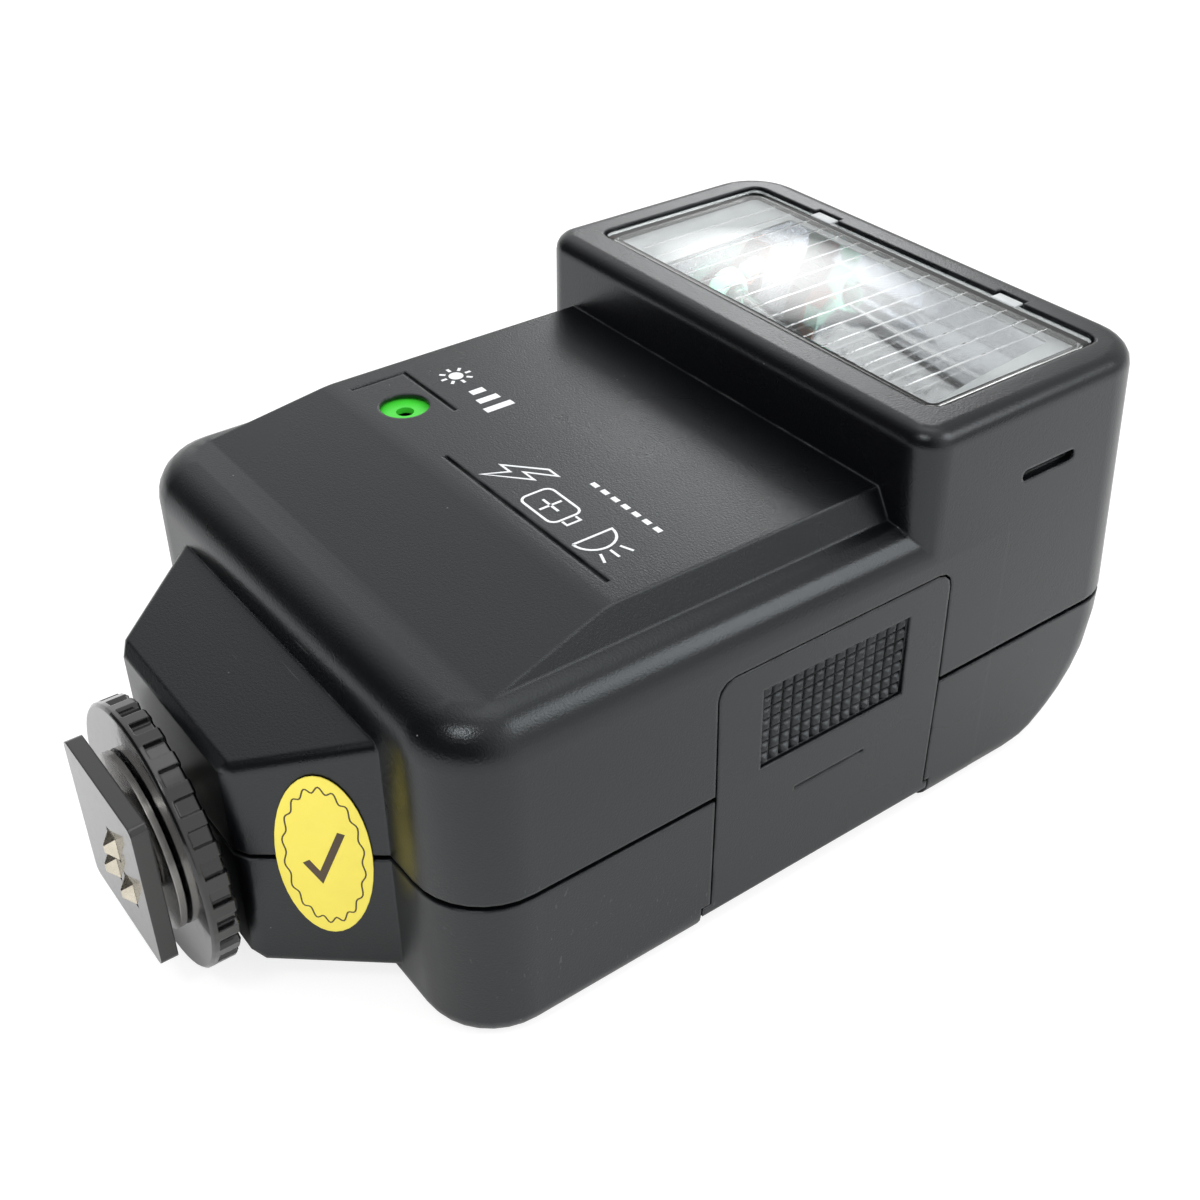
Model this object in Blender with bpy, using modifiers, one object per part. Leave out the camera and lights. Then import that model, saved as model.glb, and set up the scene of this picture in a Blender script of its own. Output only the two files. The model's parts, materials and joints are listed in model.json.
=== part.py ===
"""Speedlight flash, lying on its back.

Frame: +Y runs from the hot-shoe foot to the head, +Z is the way the flash fires,
+X is the battery-door side.  Sizes are in millimetres, with y counted from the
foot's outer face; the datum empty shifts everything so that the origin is the
middle of the base.
"""
import math

import bmesh
import bpy
from mathutils import Matrix, Vector

MM = 0.001

# ---- driving dimensions ------------------------------------------------------
GAP = 0.3                 # clearance between fixed neighbours
WALL = 2.0                # shell wall
BODY_HALF = 36.6          # half width at the parting plane
BODY_NEAR = 22.2          # y of the body's end wall
BODY_HEIGHT = 43.2        # z of the body's front margin
BODY_CORNER = 9.0
BODY_SHOULDER = 5.0       # fillet round the body's front margin
BASE_FILLET = 3.0
SPLIT = 20.5              # z of the parting plane
SPLIT_GROOVE = 0.8
LIP_HEIGHT = 1.5
LIP_INSET = 1.1
SIDE_DRAFT = 0.023        # half width lost per mm above the parting plane
PANEL_HEIGHT = 46.6
PANEL_HALF = 29.2
PANEL_FOOT_HALF = 31.2
PANEL_TOE = 30.7          # y where the ramp rises out of the margin
PANEL_KNEE = 46.2
HEAD_NEAR = 84.0
HEAD_FAR = 125.0
HEAD_DRAFT = 0.069        # far wall's lean, per mm above the parting plane
HEAD_HEIGHT = 55.2
HEAD_NEAR_CORNER = 4.0
HEAD_FAR_CORNER = 8.0
HEAD_FILLET = 2.2
HEEL_HEIGHT = 17.0        # rounded rear end of the head
HEEL_LENGTH = 18.5
NECK_NEAR = 9.3
NECK_NEAR_HALF = 13.1
NECK_NEAR_LOW = 4.1
NECK_NEAR_HIGH = 32.8
NECK_FAR_HALF = 23.2
NECK_FAR_LOW = 3.3
NECK_FAR_HIGH = 36.2
NECK_CORNER = 1.3

WINDOW_HALF = 31.0
WINDOW_NEAR = 89.5
WINDOW_FAR = 118.0
WINDOW_CORNER = 2.0
WINDOW_DROP = 0.3
WINDOW_FLANGE = 1.6
LUG_OFFSET = 16.5
LUG_HALF = 2.0
LUG_REACH = 0.9
REFLECTOR_HALF = 25.2
REFLECTOR_NEAR = 92.8
REFLECTOR_FAR = 116.4
REFLECTOR_DEPTH = 11.5
SHEET = 0.8
TUBE_RADIUS = 2.0
TUBE_HALF = 30.0
TUBE_PIN_RADIUS = 0.5
TUBE_PIN_LENGTH = 3.0
BOOT_RADIUS = 3.6
CLIP_NEAR = 108.4
CLIP_LENGTH = 4.0
CLIP_THICK = 0.5
CLIP_RISE = 5.2
CLIP_FOOT_REACH = 4.0
TUBE_DROP = 9.6           # tube's axis under the head's front
SIDE_SLOT_NEAR = 100.5
SIDE_SLOT_FAR = 109.5
SIDE_SLOT_DROP = 10.2
SIDE_SLOT_HALF = 0.75
SIDE_SLOT_DEPTH = 1.2

CELL_RADIUS = 7.25        # AA cell
CELL_PLAY = 0.15
CELL_ROOM = 51.4          # cell length with its springs pressed flat
BAY_CENTRE = 72.9
BAY_FLOOR = 4.9
BAY_MOUTH_DEPTH = 4.6     # tray's mouth behind the side face
BAY_WALL = 1.2
STRIP_THICK = 0.4
STRIP_REACH = 4.0
DOOR_STRIP_REACH = 3.5
SPRING_WIRE = 0.35
SPRING_TURNS = 3.0
SPRING_HEIGHT = 4.2
SPRING_WIDE = 4.2
SPRING_NARROW = 2.4

DOOR_NEAR = 55.6
DOOR_FAR = 90.2
DOOR_BOTTOM = 2.6
DOOR_TOP = 36.2
DOOR_CORNER = 2.0
EAR_TOP = 3.8
EAR_NEAR = 1.3
EAR_FAR = 0.8
HINGE_DEPTH = 2.0         # hinge pin behind the side face
HINGE_Z = 4.6
PIN_OVERHANG = 1.2
CHEEK_WIDTH = 3.0
CHEEK_TOP = 8.0
KNUCKLE_OFFSET = 10.0
KNUCKLE_HALF = 4.0
GRIP_HALF = 11.1
GRIP_LOW = 21.4
GRIP_HIGH = 32.6
GRIP_DEPTH = 0.6
INDEX_LINE = 15.6         # height of the moulded line under the grip
INDEX_HALF = 5.5
LINE_HALF = 0.25          # half width of a moulded line
LINE_DEPTH = 0.4
PIN_RADIUS = 0.7
KNUCKLE_RADIUS = 1.6
DOOR_TRAVEL = 1.6

FOOT_HALF = 9.3
FOOT_LENGTH = 20.2
FOOT_THICK = 2.0
STEM_Z = 16.2
STEM_RADIUS = 5.8
RING_RADIUS = 16.0
RING_NEAR = 4.05
RING_FAR = 7.45
RING_RIDGES = 28
RIDGE_SHARE = 0.42        # of the pitch that stands proud
RIDGE_DEPTH = 0.7
RING_RIM = 0.8
RING_CHAMFER = 0.3
CLAMP_RADIUS = 10.6
CLAMP_THICK = 0.8
CONTACT_RISE = 1.1
CONTACT_HALF = 1.0
CONTACT_REACH = 1.5
CONTACT_DEPTH = 1.4       # how far a contact goes into the foot
FLANGE_RADIUS = 9.0
FLANGE_THICK = 2.0

SENSOR_X = -18.8
SENSOR_Y = 51.1
SENSOR_RADIUS = 3.05
STATION_PITCH = 4.5
WIDE_STOP = 1.1
NARROW_STOP = 0.6
SLIDE_ROOF = 0.5          # wall left over the aperture slide
SLIDE_THICK = 0.8
SLIDE_HALF_WIDTH = 3.3
SLIDE_LEFT = 8.6
SLIDE_RIGHT = 3.6
EYE_RADIUS = 1.9
EYE_LENGTH = 2.4
CORNER_LINE_LEFT = 7.5
CORNER_LINE_RIGHT = 4.7
CORNER_LINE_DROP = 3.2
CORNER_LINE_RISE = 4.4
LONG_LINE_Y = 48.7
LONG_LINE_LEFT = -5.7
LONG_LINE_RIGHT = 25.9

CONTROL_ROW = 35.6        # y of the rear controls nearest the foot
POWER_X = 14.0
POWER_TRAVEL = 3.0
KNOB_SINK = 0.4           # rear controls stop this far inside the rear face
KNOB_HALF_LENGTH = 2.0
KNOB_HALF_WIDTH = 1.6
KNOB_BASE_HALF = 6.0
KNOB_BASE_HALF_WIDTH = 3.2
KNOB_BASE_THICK = 0.9
MODE_OFFSET = 7.5         # the mode knob's place beside the sensor
LINK_THICK = 1.2
LINK_HALF_WIDTH = 1.0
BUTTON_RADIUS = 3.5
BUTTON_FLANGE = 4.8
LAMP_X = -12.0
LAMP_RADIUS = 2.0
LAMP_FLANGE = 3.0
SCALE_HALF = 27.0
SCALE_NEAR = 60.0
SCALE_FAR = 84.0
SCALE_SINK = 0.3
SCALE_THICK = 0.7
SCALE_CORNER = 1.5

BOARD_LEFT = -18.5
BOARD_RIGHT = 26.0
BOARD_NEAR = 25.5
BOARD_FAR = 55.0
BOARD_HEIGHT = 24.0
BOARD_THICK = 1.6
CAN_RADIUS = 12.0
CAN_LENGTH = 44.0
CAN_Y = 107.5
CAN_Z = 18.8

POST_DEPTH = 5.6          # post's axis behind the side face
POST_NEAR = 30.5
POST_FAR = 97.5
POST_RADIUS = 3.0
POST_TOP = 30.0
RIB_HALF = 1.0
RIB_LOW = 23.4
PAD_TOP = 4.6
SCREW_RADIUS = 1.05
SCREW_HEAD = 2.3
SCREW_HEAD_DEPTH = 2.1
SCREW_LENGTH = 11.5
SCREW_POINT = 1.5
WELL_DEPTH = 2.4
THREAD_BITE = 0.25        # pilot hole's extra radius

STICKER_ALONG = 9.3       # from the ring end, up the neck's slanted side
STICKER_HALF_WIDTH = 5.1
STICKER_HALF_HEIGHT = 11.4
STICKER_THICK = 0.12

ARC_STEPS = 8             # segments in a rounded corner
FILLET_STEPS = 5          # segments in a rounded edge

# ---- sizes that follow -------------------------------------------------------
MIDDLE = (HEAD_FAR - CONTACT_RISE) / 2
TUBE_HEIGHT = HEAD_HEIGHT - TUBE_DROP
TUBE_Y = (REFLECTOR_NEAR + REFLECTOR_FAR) / 2
SIDE_SLOT_HEIGHT = HEAD_HEIGHT - SIDE_SLOT_DROP
BAY_MOUTH = BODY_HALF - BAY_MOUTH_DEPTH
BAY_BACK = BAY_MOUTH - CELL_ROOM
DOOR_INSIDE = BODY_HALF - WALL - GAP
HINGE_X = BODY_HALF - HINGE_DEPTH
POST_X = BODY_HALF - POST_DEPTH
MODE_X = SENSOR_X - MODE_OFFSET
SLIDE_TOP = PANEL_HEIGHT - SLIDE_ROOF - GAP
FAR_OUT = HEAD_HEIGHT + BODY_HALF   # cutters reach past the object by this much


# ---- scene, collections, finishes -------------------------------------------
for old in list(bpy.data.objects):
    bpy.data.objects.remove(old, do_unlink=True)

PARTS = bpy.data.collections.new("speedlight_flash")
CUTTERS = bpy.data.collections.new("cutters")
bpy.context.scene.collection.children.link(PARTS)
bpy.context.scene.collection.children.link(CUTTERS)

datum = bpy.data.objects.new("datum", None)
datum.location = (0, -MIDDLE * MM, 0)
PARTS.objects.link(datum)


def finish(name, colour, roughness, metallic=0.0, alpha=1.0):
    """One Principled material for one sort of surface."""
    material = bpy.data.materials.new(name)
    material.use_nodes = True
    shader = material.node_tree.nodes["Principled BSDF"]
    shader.inputs["Base Color"].default_value = (*colour, 1.0)
    shader.inputs["Roughness"].default_value = roughness
    shader.inputs["Metallic"].default_value = metallic
    shader.inputs["Alpha"].default_value = alpha
    return material


SATIN_BLACK = ((0.045, 0.047, 0.050), 0.45)
GLOSS_BLACK = ((0.020, 0.020, 0.022), 0.15)
CLEAR = ((0.85, 0.88, 0.90), 0.05, 0.0, 0.3)
MIRROR = ((0.80, 0.81, 0.82), 0.08, 1.0)
NICKEL = ((0.70, 0.68, 0.62), 0.25, 1.0)
COPPER = ((0.72, 0.40, 0.24), 0.30, 1.0)
STEEL = ((0.55, 0.56, 0.58), 0.30, 1.0)
MINT = ((0.45, 0.78, 0.62), 0.55)
GREEN = ((0.07, 0.55, 0.08), 0.40)
DARK_PLASTIC = ((0.10, 0.10, 0.11), 0.60)
BOARD_GREEN = ((0.05, 0.22, 0.12), 0.55)
AMBER = ((0.75, 0.35, 0.05), 0.20)
YELLOW = ((0.87, 0.76, 0.13), 0.50)
GREY_PRINT = ((0.30, 0.31, 0.33), 0.50)
PVC_BLUE = ((0.05, 0.10, 0.30), 0.35)
WIRE_RED = ((0.55, 0.04, 0.03), 0.45)


# ---- makers ------------------------------------------------------------------
def new_object(name, bm, origin=(0, 0, 0), look=None):
    """Object from a bmesh in millimetres, with its origin where asked."""
    bmesh.ops.translate(bm, verts=bm.verts, vec=-Vector(origin))
    bmesh.ops.scale(bm, verts=bm.verts, vec=(MM, MM, MM))
    bmesh.ops.recalc_face_normals(bm, faces=bm.faces)
    mesh = bpy.data.meshes.new(name)
    bm.to_mesh(mesh)
    bm.free()
    item = bpy.data.objects.new(name, mesh)
    item.location = Vector(origin) * MM
    item.parent = datum
    if look is None:
        CUTTERS.objects.link(item)
        item.hide_render = True
        item.display_type = 'WIRE'
    else:
        PARTS.objects.link(item)
        mesh.materials.append(finish(name, *look))
        mesh.set_sharp_from_angle(angle=math.radians(35))
    return item


def box_mesh(low, high):
    """Closed box between two corners."""
    bm = bmesh.new()
    bmesh.ops.create_cube(bm, size=1.0)
    low, high = Vector(low), Vector(high)
    bmesh.ops.scale(bm, verts=bm.verts, vec=high - low)
    bmesh.ops.translate(bm, verts=bm.verts, vec=(low + high) / 2)
    return bm


def box(name, low, high, look=None, origin=(0, 0, 0), round_axis=None, radius=0.0, only=None):
    """Box, with the edges along one axis rounded where asked."""
    bm = box_mesh(low, high)
    if radius:
        axis = "xyz".index(round_axis)
        edges = []
        for edge in bm.edges:
            run = edge.verts[1].co - edge.verts[0].co
            along = abs(run[axis]) > 0.9 * run.length
            if along and (only is None or only(edge.verts[0].co)):
                edges.append(edge)
        bmesh.ops.bevel(bm, geom=edges, offset=radius, segments=3, profile=0.5, affect='EDGES')
    return new_object(name, bm, origin, look)


def rod(name, start, end, radius, look=None, origin=(0, 0, 0), sides=24, end_radius=None):
    """Cylinder or cone between two points."""
    start, end = Vector(start), Vector(end)
    run = end - start
    bm = bmesh.new()
    turn = Vector((0, 0, 1)).rotation_difference(run).to_matrix().to_4x4()
    matrix = Matrix.Translation((start + end) / 2) @ turn
    bmesh.ops.create_cone(bm, cap_ends=True, segments=sides, radius1=radius,
                          radius2=radius if end_radius is None else end_radius,
                          depth=run.length, matrix=matrix)
    return new_object(name, bm, origin, look)


def loft(name, rings, look=None, origin=(0, 0, 0)):
    """Skin through rings of equally many points, closed at both ends."""
    bm = bmesh.new()
    rows = []
    for ring in rings:
        rows.append([bm.verts.new(point) for point in ring])
    count = len(rows[0])
    for lower, upper in zip(rows, rows[1:]):
        for i in range(count):
            j = (i + 1) % count
            bm.faces.new((lower[i], lower[j], upper[j], upper[i]))
    bm.faces.new(list(reversed(rows[0])))
    bm.faces.new(rows[-1])
    return new_object(name, bm, origin, look)


def turned(name, profile, start, direction, look, origin=None, steps=32):
    """Turned piece: profile of (radius, height) pairs from the top down."""
    mesh = bpy.data.meshes.new(name)
    points = [(r * MM, 0, h * MM) for r, h in profile]
    mesh.from_pydata(points, [(i, i + 1) for i in range(len(points) - 1)], [])
    item = bpy.data.objects.new(name, mesh)
    item.location = Vector(start) * MM
    item.rotation_mode = 'QUATERNION'
    item.rotation_quaternion = Vector((0, 0, 1)).rotation_difference(Vector(direction))
    item.parent = datum
    PARTS.objects.link(item)
    mesh.materials.append(finish(name, *look))
    screw = item.modifiers.new("turn", 'SCREW')
    screw.steps = steps
    screw.render_steps = steps
    screw.use_merge_vertices = True
    screw.merge_threshold = 0.000001
    screw.use_smooth_shade = True
    return item


def wire(name, points, radius, look, resolution=2):
    """Round wire through a list of points."""
    curve = bpy.data.curves.new(name, 'CURVE')
    curve.dimensions = '3D'
    curve.bevel_depth = radius * MM
    curve.bevel_resolution = resolution
    curve.use_fill_caps = True
    spline = curve.splines.new('POLY')
    spline.points.add(len(points) - 1)
    for slot, point in zip(spline.points, points):
        slot.co = (*(Vector(point) * MM), 1.0)
    curve.materials.append(finish(name, *look))
    item = bpy.data.objects.new(name, curve)
    item.parent = datum
    PARTS.objects.link(item)
    return item


def combine(target, tool, operation):
    """Boolean of a tool onto a target."""
    modifier = target.modifiers.new(tool.name, 'BOOLEAN')
    modifier.operation = operation
    modifier.object = tool
    modifier.solver = 'EXACT'
    return target


def cut(target, *tools):
    for tool in tools:
        combine(target, tool, 'DIFFERENCE')
    return target


def join(target, *tools):
    for tool in tools:
        combine(target, tool, 'UNION')
    return target


def keep(target, tool):
    return combine(target, tool, 'INTERSECT')


# ---- the outer form ----------------------------------------------------------
def rounded_ring(half, low, high, r_low, r_high):
    """Points of a rounded rectangle: x across, second value from low to high."""
    points = []
    corners = ((half, low, r_low, -90), (half, high, r_high, 0),
               (-half, high, r_high, 90), (-half, low, r_low, 180))
    for x, v, radius, first in corners:
        radius = max(radius, 0.4)
        cx = x - math.copysign(radius, x)
        cv = v + radius if v == low else v - radius
        for i in range(ARC_STEPS + 1):
            angle = math.radians(first + 90 * i / ARC_STEPS)
            points.append((cx + radius * math.cos(angle), cv + radius * math.sin(angle)))
    return points


def half_width(z):
    return BODY_HALF - SIDE_DRAFT * max(z - SPLIT, 0)


def far_wall(z, inset):
    """Far end of the head: leaning above the parting plane, rounded at the heel."""
    if z >= HEEL_HEIGHT:
        return HEAD_FAR - inset - HEAD_DRAFT * max(z - SPLIT, 0)
    rise = (HEEL_HEIGHT - z) / (HEEL_HEIGHT - inset)
    reach = (HEEL_LENGTH - inset) * math.sqrt(max(1 - rise * rise, 0))
    return HEAD_FAR - HEEL_LENGTH + reach


def fillet_levels(low, high, r_low, r_high, between):
    """(z, inset) pairs up a solid with rounded lower and upper edges."""
    levels = []
    for i in range(FILLET_STEPS + 1):
        angle = math.radians(90 - 90 * i / FILLET_STEPS)
        levels.append((low + r_low * (1 - math.sin(angle)), r_low * (1 - math.cos(angle))))
    for z in between:
        levels.append((z, 0.0))
    for i in range(FILLET_STEPS + 1):
        angle = math.radians(90 * i / FILLET_STEPS)
        levels.append((high - r_high * (1 - math.sin(angle)), r_high * (1 - math.cos(angle))))
    return levels


def body_block(name, inset):
    far = HEAD_NEAR + 16.0
    rings = []
    shoulder = max(BODY_SHOULDER - inset, 1.0)
    base = max(BASE_FILLET - inset, 1.0)
    for z, d in fillet_levels(inset, BODY_HEIGHT - inset, base, shoulder, (SPLIT,)):
        half = half_width(z) + 0.02 - inset - d
        corner = BODY_CORNER - inset - d
        ring = rounded_ring(half, BODY_NEAR + inset + d, far, corner, 0.5)
        rings.append([(x, y, z) for x, y in ring])
    return loft(name, rings)


def head_block(name, inset):
    rings = []
    edge = max(HEAD_FILLET - inset, 0.6)
    base = max(BASE_FILLET - inset, 1.0)
    heel = (4.5, 6.5, 9.0, 12.0, HEEL_HEIGHT, SPLIT)
    for z, d in fillet_levels(inset + 0.02, HEAD_HEIGHT - inset, base, edge, heel):
        half = half_width(z) - inset - d
        at_top = z > SPLIT
        far = far_wall(z, inset) - (d if at_top else 0)
        ring = rounded_ring(half, HEAD_NEAR + inset + d, far,
                            HEAD_NEAR_CORNER - inset - d, HEAD_FAR_CORNER - inset - d)
        rings.append([(x, y, z) for x, y in ring])
    return loft(name, rings)


def neck_block(name, inset):
    """Tapered neck between the foot and the body."""
    run = BODY_NEAR + 0.3 - NECK_NEAR
    rings = []
    for y, d in ((NECK_NEAR + inset, 1.0), (NECK_NEAR + inset + 1.0, 0.0), (BODY_NEAR + 6.0, 0.0)):
        t = (y - NECK_NEAR) / run
        half = NECK_NEAR_HALF + t * (NECK_FAR_HALF - NECK_NEAR_HALF) - inset - d
        low = NECK_NEAR_LOW + t * (NECK_FAR_LOW - NECK_NEAR_LOW) + inset + d
        high = NECK_NEAR_HIGH + t * (NECK_FAR_HIGH - NECK_NEAR_HIGH) - inset - d
        corner = NECK_CORNER - inset - d
        ring = rounded_ring(half, low, high, corner, corner)
        rings.append([(x, y, z) for x, z in ring])
    return loft(name, rings)


def panel_block(name, inset):
    """Raised front panel: a ramp up from the margin, then flat to the head."""
    sink = 1.0
    rise = PANEL_HEIGHT - BODY_HEIGHT
    side = (PANEL_FOOT_HALF - PANEL_HALF) / rise
    ramp = (PANEL_KNEE - PANEL_TOE) / rise
    back = HEAD_NEAR + 8.0
    bm = box_mesh((-1, 0, 0), (1, 1, 1))
    for vert in bm.verts:
        top = vert.co.z > 0.5
        z = PANEL_HEIGHT - inset if top else BODY_HEIGHT - inset - sink
        drop = 0.0 if top else rise + sink
        half = PANEL_HALF - 0.8 * inset + side * drop
        near = PANEL_KNEE + 0.3 * inset - ramp * drop
        vert.co = Vector((math.copysign(half, vert.co.x), near if vert.co.y < 0.5 else back, z))
    knee = [e for e in bm.edges if all(abs(v.co.z - PANEL_HEIGHT + inset) < 0.01
                                       and v.co.y < HEAD_NEAR for v in e.verts)]
    bmesh.ops.bevel(bm, geom=knee, offset=1.0, segments=3, profile=0.5, affect='EDGES')
    return new_object(name, bm)


def form(name, inset):
    """The whole outside, drawn in by a given amount."""
    whole = body_block(name, inset)
    join(whole, head_block(name + "_head", inset), neck_block(name + "_neck", inset))
    if inset in (0.0, WALL):
        join(whole, panel_block(name + "_panel", inset))
    return whole


outside = form("outside", 0.0)
hollow = form("hollow", WALL)
lip_outside = form("lip_outside", LIP_INSET)
lip_clearance = form("lip_clearance", LIP_INSET - GAP)


def slab(name, low, high):
    """Everything between two heights."""
    return box(name, (-FAR_OUT, -10, low), (FAR_OUT, 2 * FAR_OUT + 20, high))


def door_opening():
    """Cutter for the door's hole, open at the base edge."""
    top = box("door_hole", (BAY_MOUTH + GAP, DOOR_NEAR - GAP, -1),
              (FAR_OUT, DOOR_FAR + GAP, DOOR_TOP + GAP), None, (0, 0, 0),
              "x", DOOR_CORNER + GAP, lambda co: co.z > SPLIT)
    ears = box("door_hole_ears", (BAY_MOUTH + GAP, DOOR_NEAR - EAR_NEAR - GAP, -1),
               (FAR_OUT, DOOR_FAR + EAR_FAR + GAP, EAR_TOP + GAP))
    return join(top, ears)


def pin_pocket():
    """Slots that the ends of the hinge pin slide in."""
    around = PIN_RADIUS + GAP
    end = PIN_OVERHANG + GAP
    return box("pin_pocket", (HINGE_X - around, DOOR_NEAR - EAR_NEAR - end, HINGE_Z - DOOR_TRAVEL - around),
               (HINGE_X + around, DOOR_FAR + EAR_FAR + end, HINGE_Z + around))


def ear_sweep():
    """Room behind the wall for the door's ears as they swing in under the pin."""
    return box("ear_sweep", (BAY_MOUTH + GAP, DOOR_NEAR - EAR_NEAR - GAP, -1),
               (HINGE_X, DOOR_FAR + EAR_FAR + GAP, HINGE_Z + 2 * GAP))


def post_places():
    return [(side * POST_X, y) for y in (POST_NEAR, POST_FAR) for side in (-1, 1)]


hole_for_door = door_opening()
stem_hole = rod("stem_hole", (0, NECK_NEAR - 1, STEM_Z), (0, NECK_NEAR + WALL + FLANGE_THICK, STEM_Z),
                STEM_RADIUS + GAP)


# ---- shells ------------------------------------------------------------------
def front_shell():
    split = SPLIT + SPLIT_GROOVE / 2
    shell = box("front_shell", (-FAR_OUT, 0, split), (FAR_OUT, 2 * FAR_OUT + 10, FAR_OUT), SATIN_BLACK)
    keep(shell, outside)
    cut(shell, hollow)
    lip_room = slab("lip_room", split - 1, SPLIT + LIP_HEIGHT + 2 * GAP)
    cut(shell, keep(lip_room, lip_clearance))
    for i, (x, y) in enumerate(post_places(), 1):
        wall_x = math.copysign(half_width(POST_TOP) - WALL / 2, x)
        post = rod(f"post_{i}", (x, y, PAD_TOP + GAP), (x, y, POST_TOP), POST_RADIUS, sides=20)
        rib = box(f"post_rib_{i}", (min(x, wall_x), y - RIB_HALF, RIB_LOW),
                  (max(x, wall_x), y + RIB_HALF, POST_TOP))
        join(shell, post, rib)
        cut(shell, rod(f"pilot_{i}", (x, y, WALL), (x, y, PAD_TOP + SCREW_LENGTH),
                       SCREW_RADIUS + THREAD_BITE, sides=16))
    cut(shell, hole_for_door, stem_hole)
    cut(shell, window_hole())
    for side in (-1, 1):
        cut(shell, lug_notch(side), side_slot(side))
    cut(shell, *sensor_cutters())
    cut(shell, *panel_grooves())
    return shell


def window_hole():
    return box("window_hole", (-WINDOW_HALF, WINDOW_NEAR, HEAD_HEIGHT - WALL - 1),
               (WINDOW_HALF, WINDOW_FAR, HEAD_HEIGHT + 1), None, (0, 0, 0), "z", WINDOW_CORNER)


def lug_notch(side):
    x = side * LUG_OFFSET
    return box(f"lug_notch_{side}", (x - LUG_HALF - GAP, WINDOW_FAR - 1, HEAD_HEIGHT - WALL - 1),
               (x + LUG_HALF + GAP, WINDOW_FAR + LUG_REACH, HEAD_HEIGHT + 1))


def side_slot(side):
    """Shallow finger of a slot on each side of the head."""
    x = side * half_width(SIDE_SLOT_HEIGHT)
    low = (x - SIDE_SLOT_DEPTH, SIDE_SLOT_NEAR, SIDE_SLOT_HEIGHT - SIDE_SLOT_HALF)
    high = (x + SIDE_SLOT_DEPTH, SIDE_SLOT_FAR, SIDE_SLOT_HEIGHT + SIDE_SLOT_HALF)
    return box(f"side_slot_{side}", low, high, None, (0, 0, 0), "x", 0.9 * SIDE_SLOT_HALF)


def sensor_cutters():
    """Round sight hole, and the pocket under it that the aperture slide runs in."""
    sight = rod("sight_hole", (SENSOR_X, SENSOR_Y, PANEL_HEIGHT - WALL - 1),
                (SENSOR_X, SENSOR_Y, PANEL_HEIGHT + 1), SENSOR_RADIUS, sides=32)
    beside = SLIDE_HALF_WIDTH + GAP
    pocket = box("slide_pocket", (SENSOR_X - SLIDE_LEFT - GAP, SENSOR_Y - beside, PANEL_HEIGHT - 2 * WALL),
                 (SENSOR_X + SLIDE_RIGHT + STATION_PITCH + 2 * GAP, SENSOR_Y + beside, SLIDE_TOP + GAP))
    return sight, pocket


def panel_grooves():
    """Moulded lines round the sensor and under the name plate's place."""
    top = PANEL_HEIGHT + 1
    floor = PANEL_HEIGHT - LINE_DEPTH
    left = SENSOR_X - CORNER_LINE_LEFT
    far = SENSOR_Y + CORNER_LINE_RISE
    upright = box("line_upright", (left - LINE_HALF, SENSOR_Y - CORNER_LINE_DROP, floor),
                  (left + LINE_HALF, far + LINE_HALF, top))
    across = box("line_across", (left, far - LINE_HALF, floor),
                 (SENSOR_X + CORNER_LINE_RIGHT, far + LINE_HALF, top))
    lower = box("line_long", (LONG_LINE_LEFT, LONG_LINE_Y - LINE_HALF, floor),
                (LONG_LINE_RIGHT, LONG_LINE_Y + LINE_HALF, top))
    return join(upright, across), lower


def knob_slot(name, x, y, travel):
    """Slot in the rear wall for a slide knob."""
    return box(name, (x - KNOB_HALF_LENGTH - GAP, y - KNOB_HALF_WIDTH - GAP, -1),
               (x + KNOB_HALF_LENGTH + travel + GAP, y + KNOB_HALF_WIDTH + GAP, WALL + 1))


def door_cheek(name, near, far):
    """Block beside the door that holds one end of the hinge pin."""
    return box(name, (BAY_MOUTH - 0.2, near, WALL - 0.5), (BODY_HALF - 1.0, far, CHEEK_TOP))


def rear_shell():
    split = SPLIT - SPLIT_GROOVE / 2
    shell = box("rear_shell", (-FAR_OUT, 0, -1), (FAR_OUT, 2 * FAR_OUT + 10, split), SATIN_BLACK)
    keep(shell, outside)
    lip = slab("lip", split - 2, SPLIT + LIP_HEIGHT)
    join(shell, keep(lip, lip_outside))
    cut(shell, hollow)
    join(shell, door_cheek("near_cheek", DOOR_NEAR - EAR_NEAR - CHEEK_WIDTH, DOOR_NEAR - GAP),
         door_cheek("far_cheek", DOOR_FAR + GAP, DOOR_FAR + EAR_FAR + CHEEK_WIDTH))
    cut(shell, hole_for_door, pin_pocket(), ear_sweep(), stem_hole)
    for i, (x, y) in enumerate(post_places(), 1):
        join(shell, rod(f"pad_{i}", (x, y, WALL / 2), (x, y, PAD_TOP), SCREW_HEAD + 1.2, sides=20))
        cut(shell, rod(f"head_well_{i}", (x, y, -1), (x, y, WELL_DEPTH), SCREW_HEAD + GAP, sides=20),
            rod(f"shank_hole_{i}", (x, y, WELL_DEPTH - 1), (x, y, PAD_TOP + 1), SCREW_RADIUS + GAP, sides=16))
    cut(shell, box("scale_pocket", (-SCALE_HALF - GAP, SCALE_NEAR - GAP, -1),
                   (SCALE_HALF + GAP, SCALE_FAR + GAP, SCALE_SINK + SCALE_THICK + GAP), None, (0, 0, 0),
                   "z", SCALE_CORNER + GAP))
    cut(shell, knob_slot("mode_slot", MODE_X, SENSOR_Y, STATION_PITCH),
        knob_slot("power_slot", POWER_X, CONTROL_ROW, POWER_TRAVEL))
    cut(shell, rod("test_hole", (0, CONTROL_ROW, -1), (0, CONTROL_ROW, WALL + 1), BUTTON_RADIUS + GAP),
        rod("lamp_hole", (LAMP_X, CONTROL_ROW, -1), (LAMP_X, CONTROL_ROW, WALL + 1), LAMP_RADIUS + GAP))
    return shell


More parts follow.
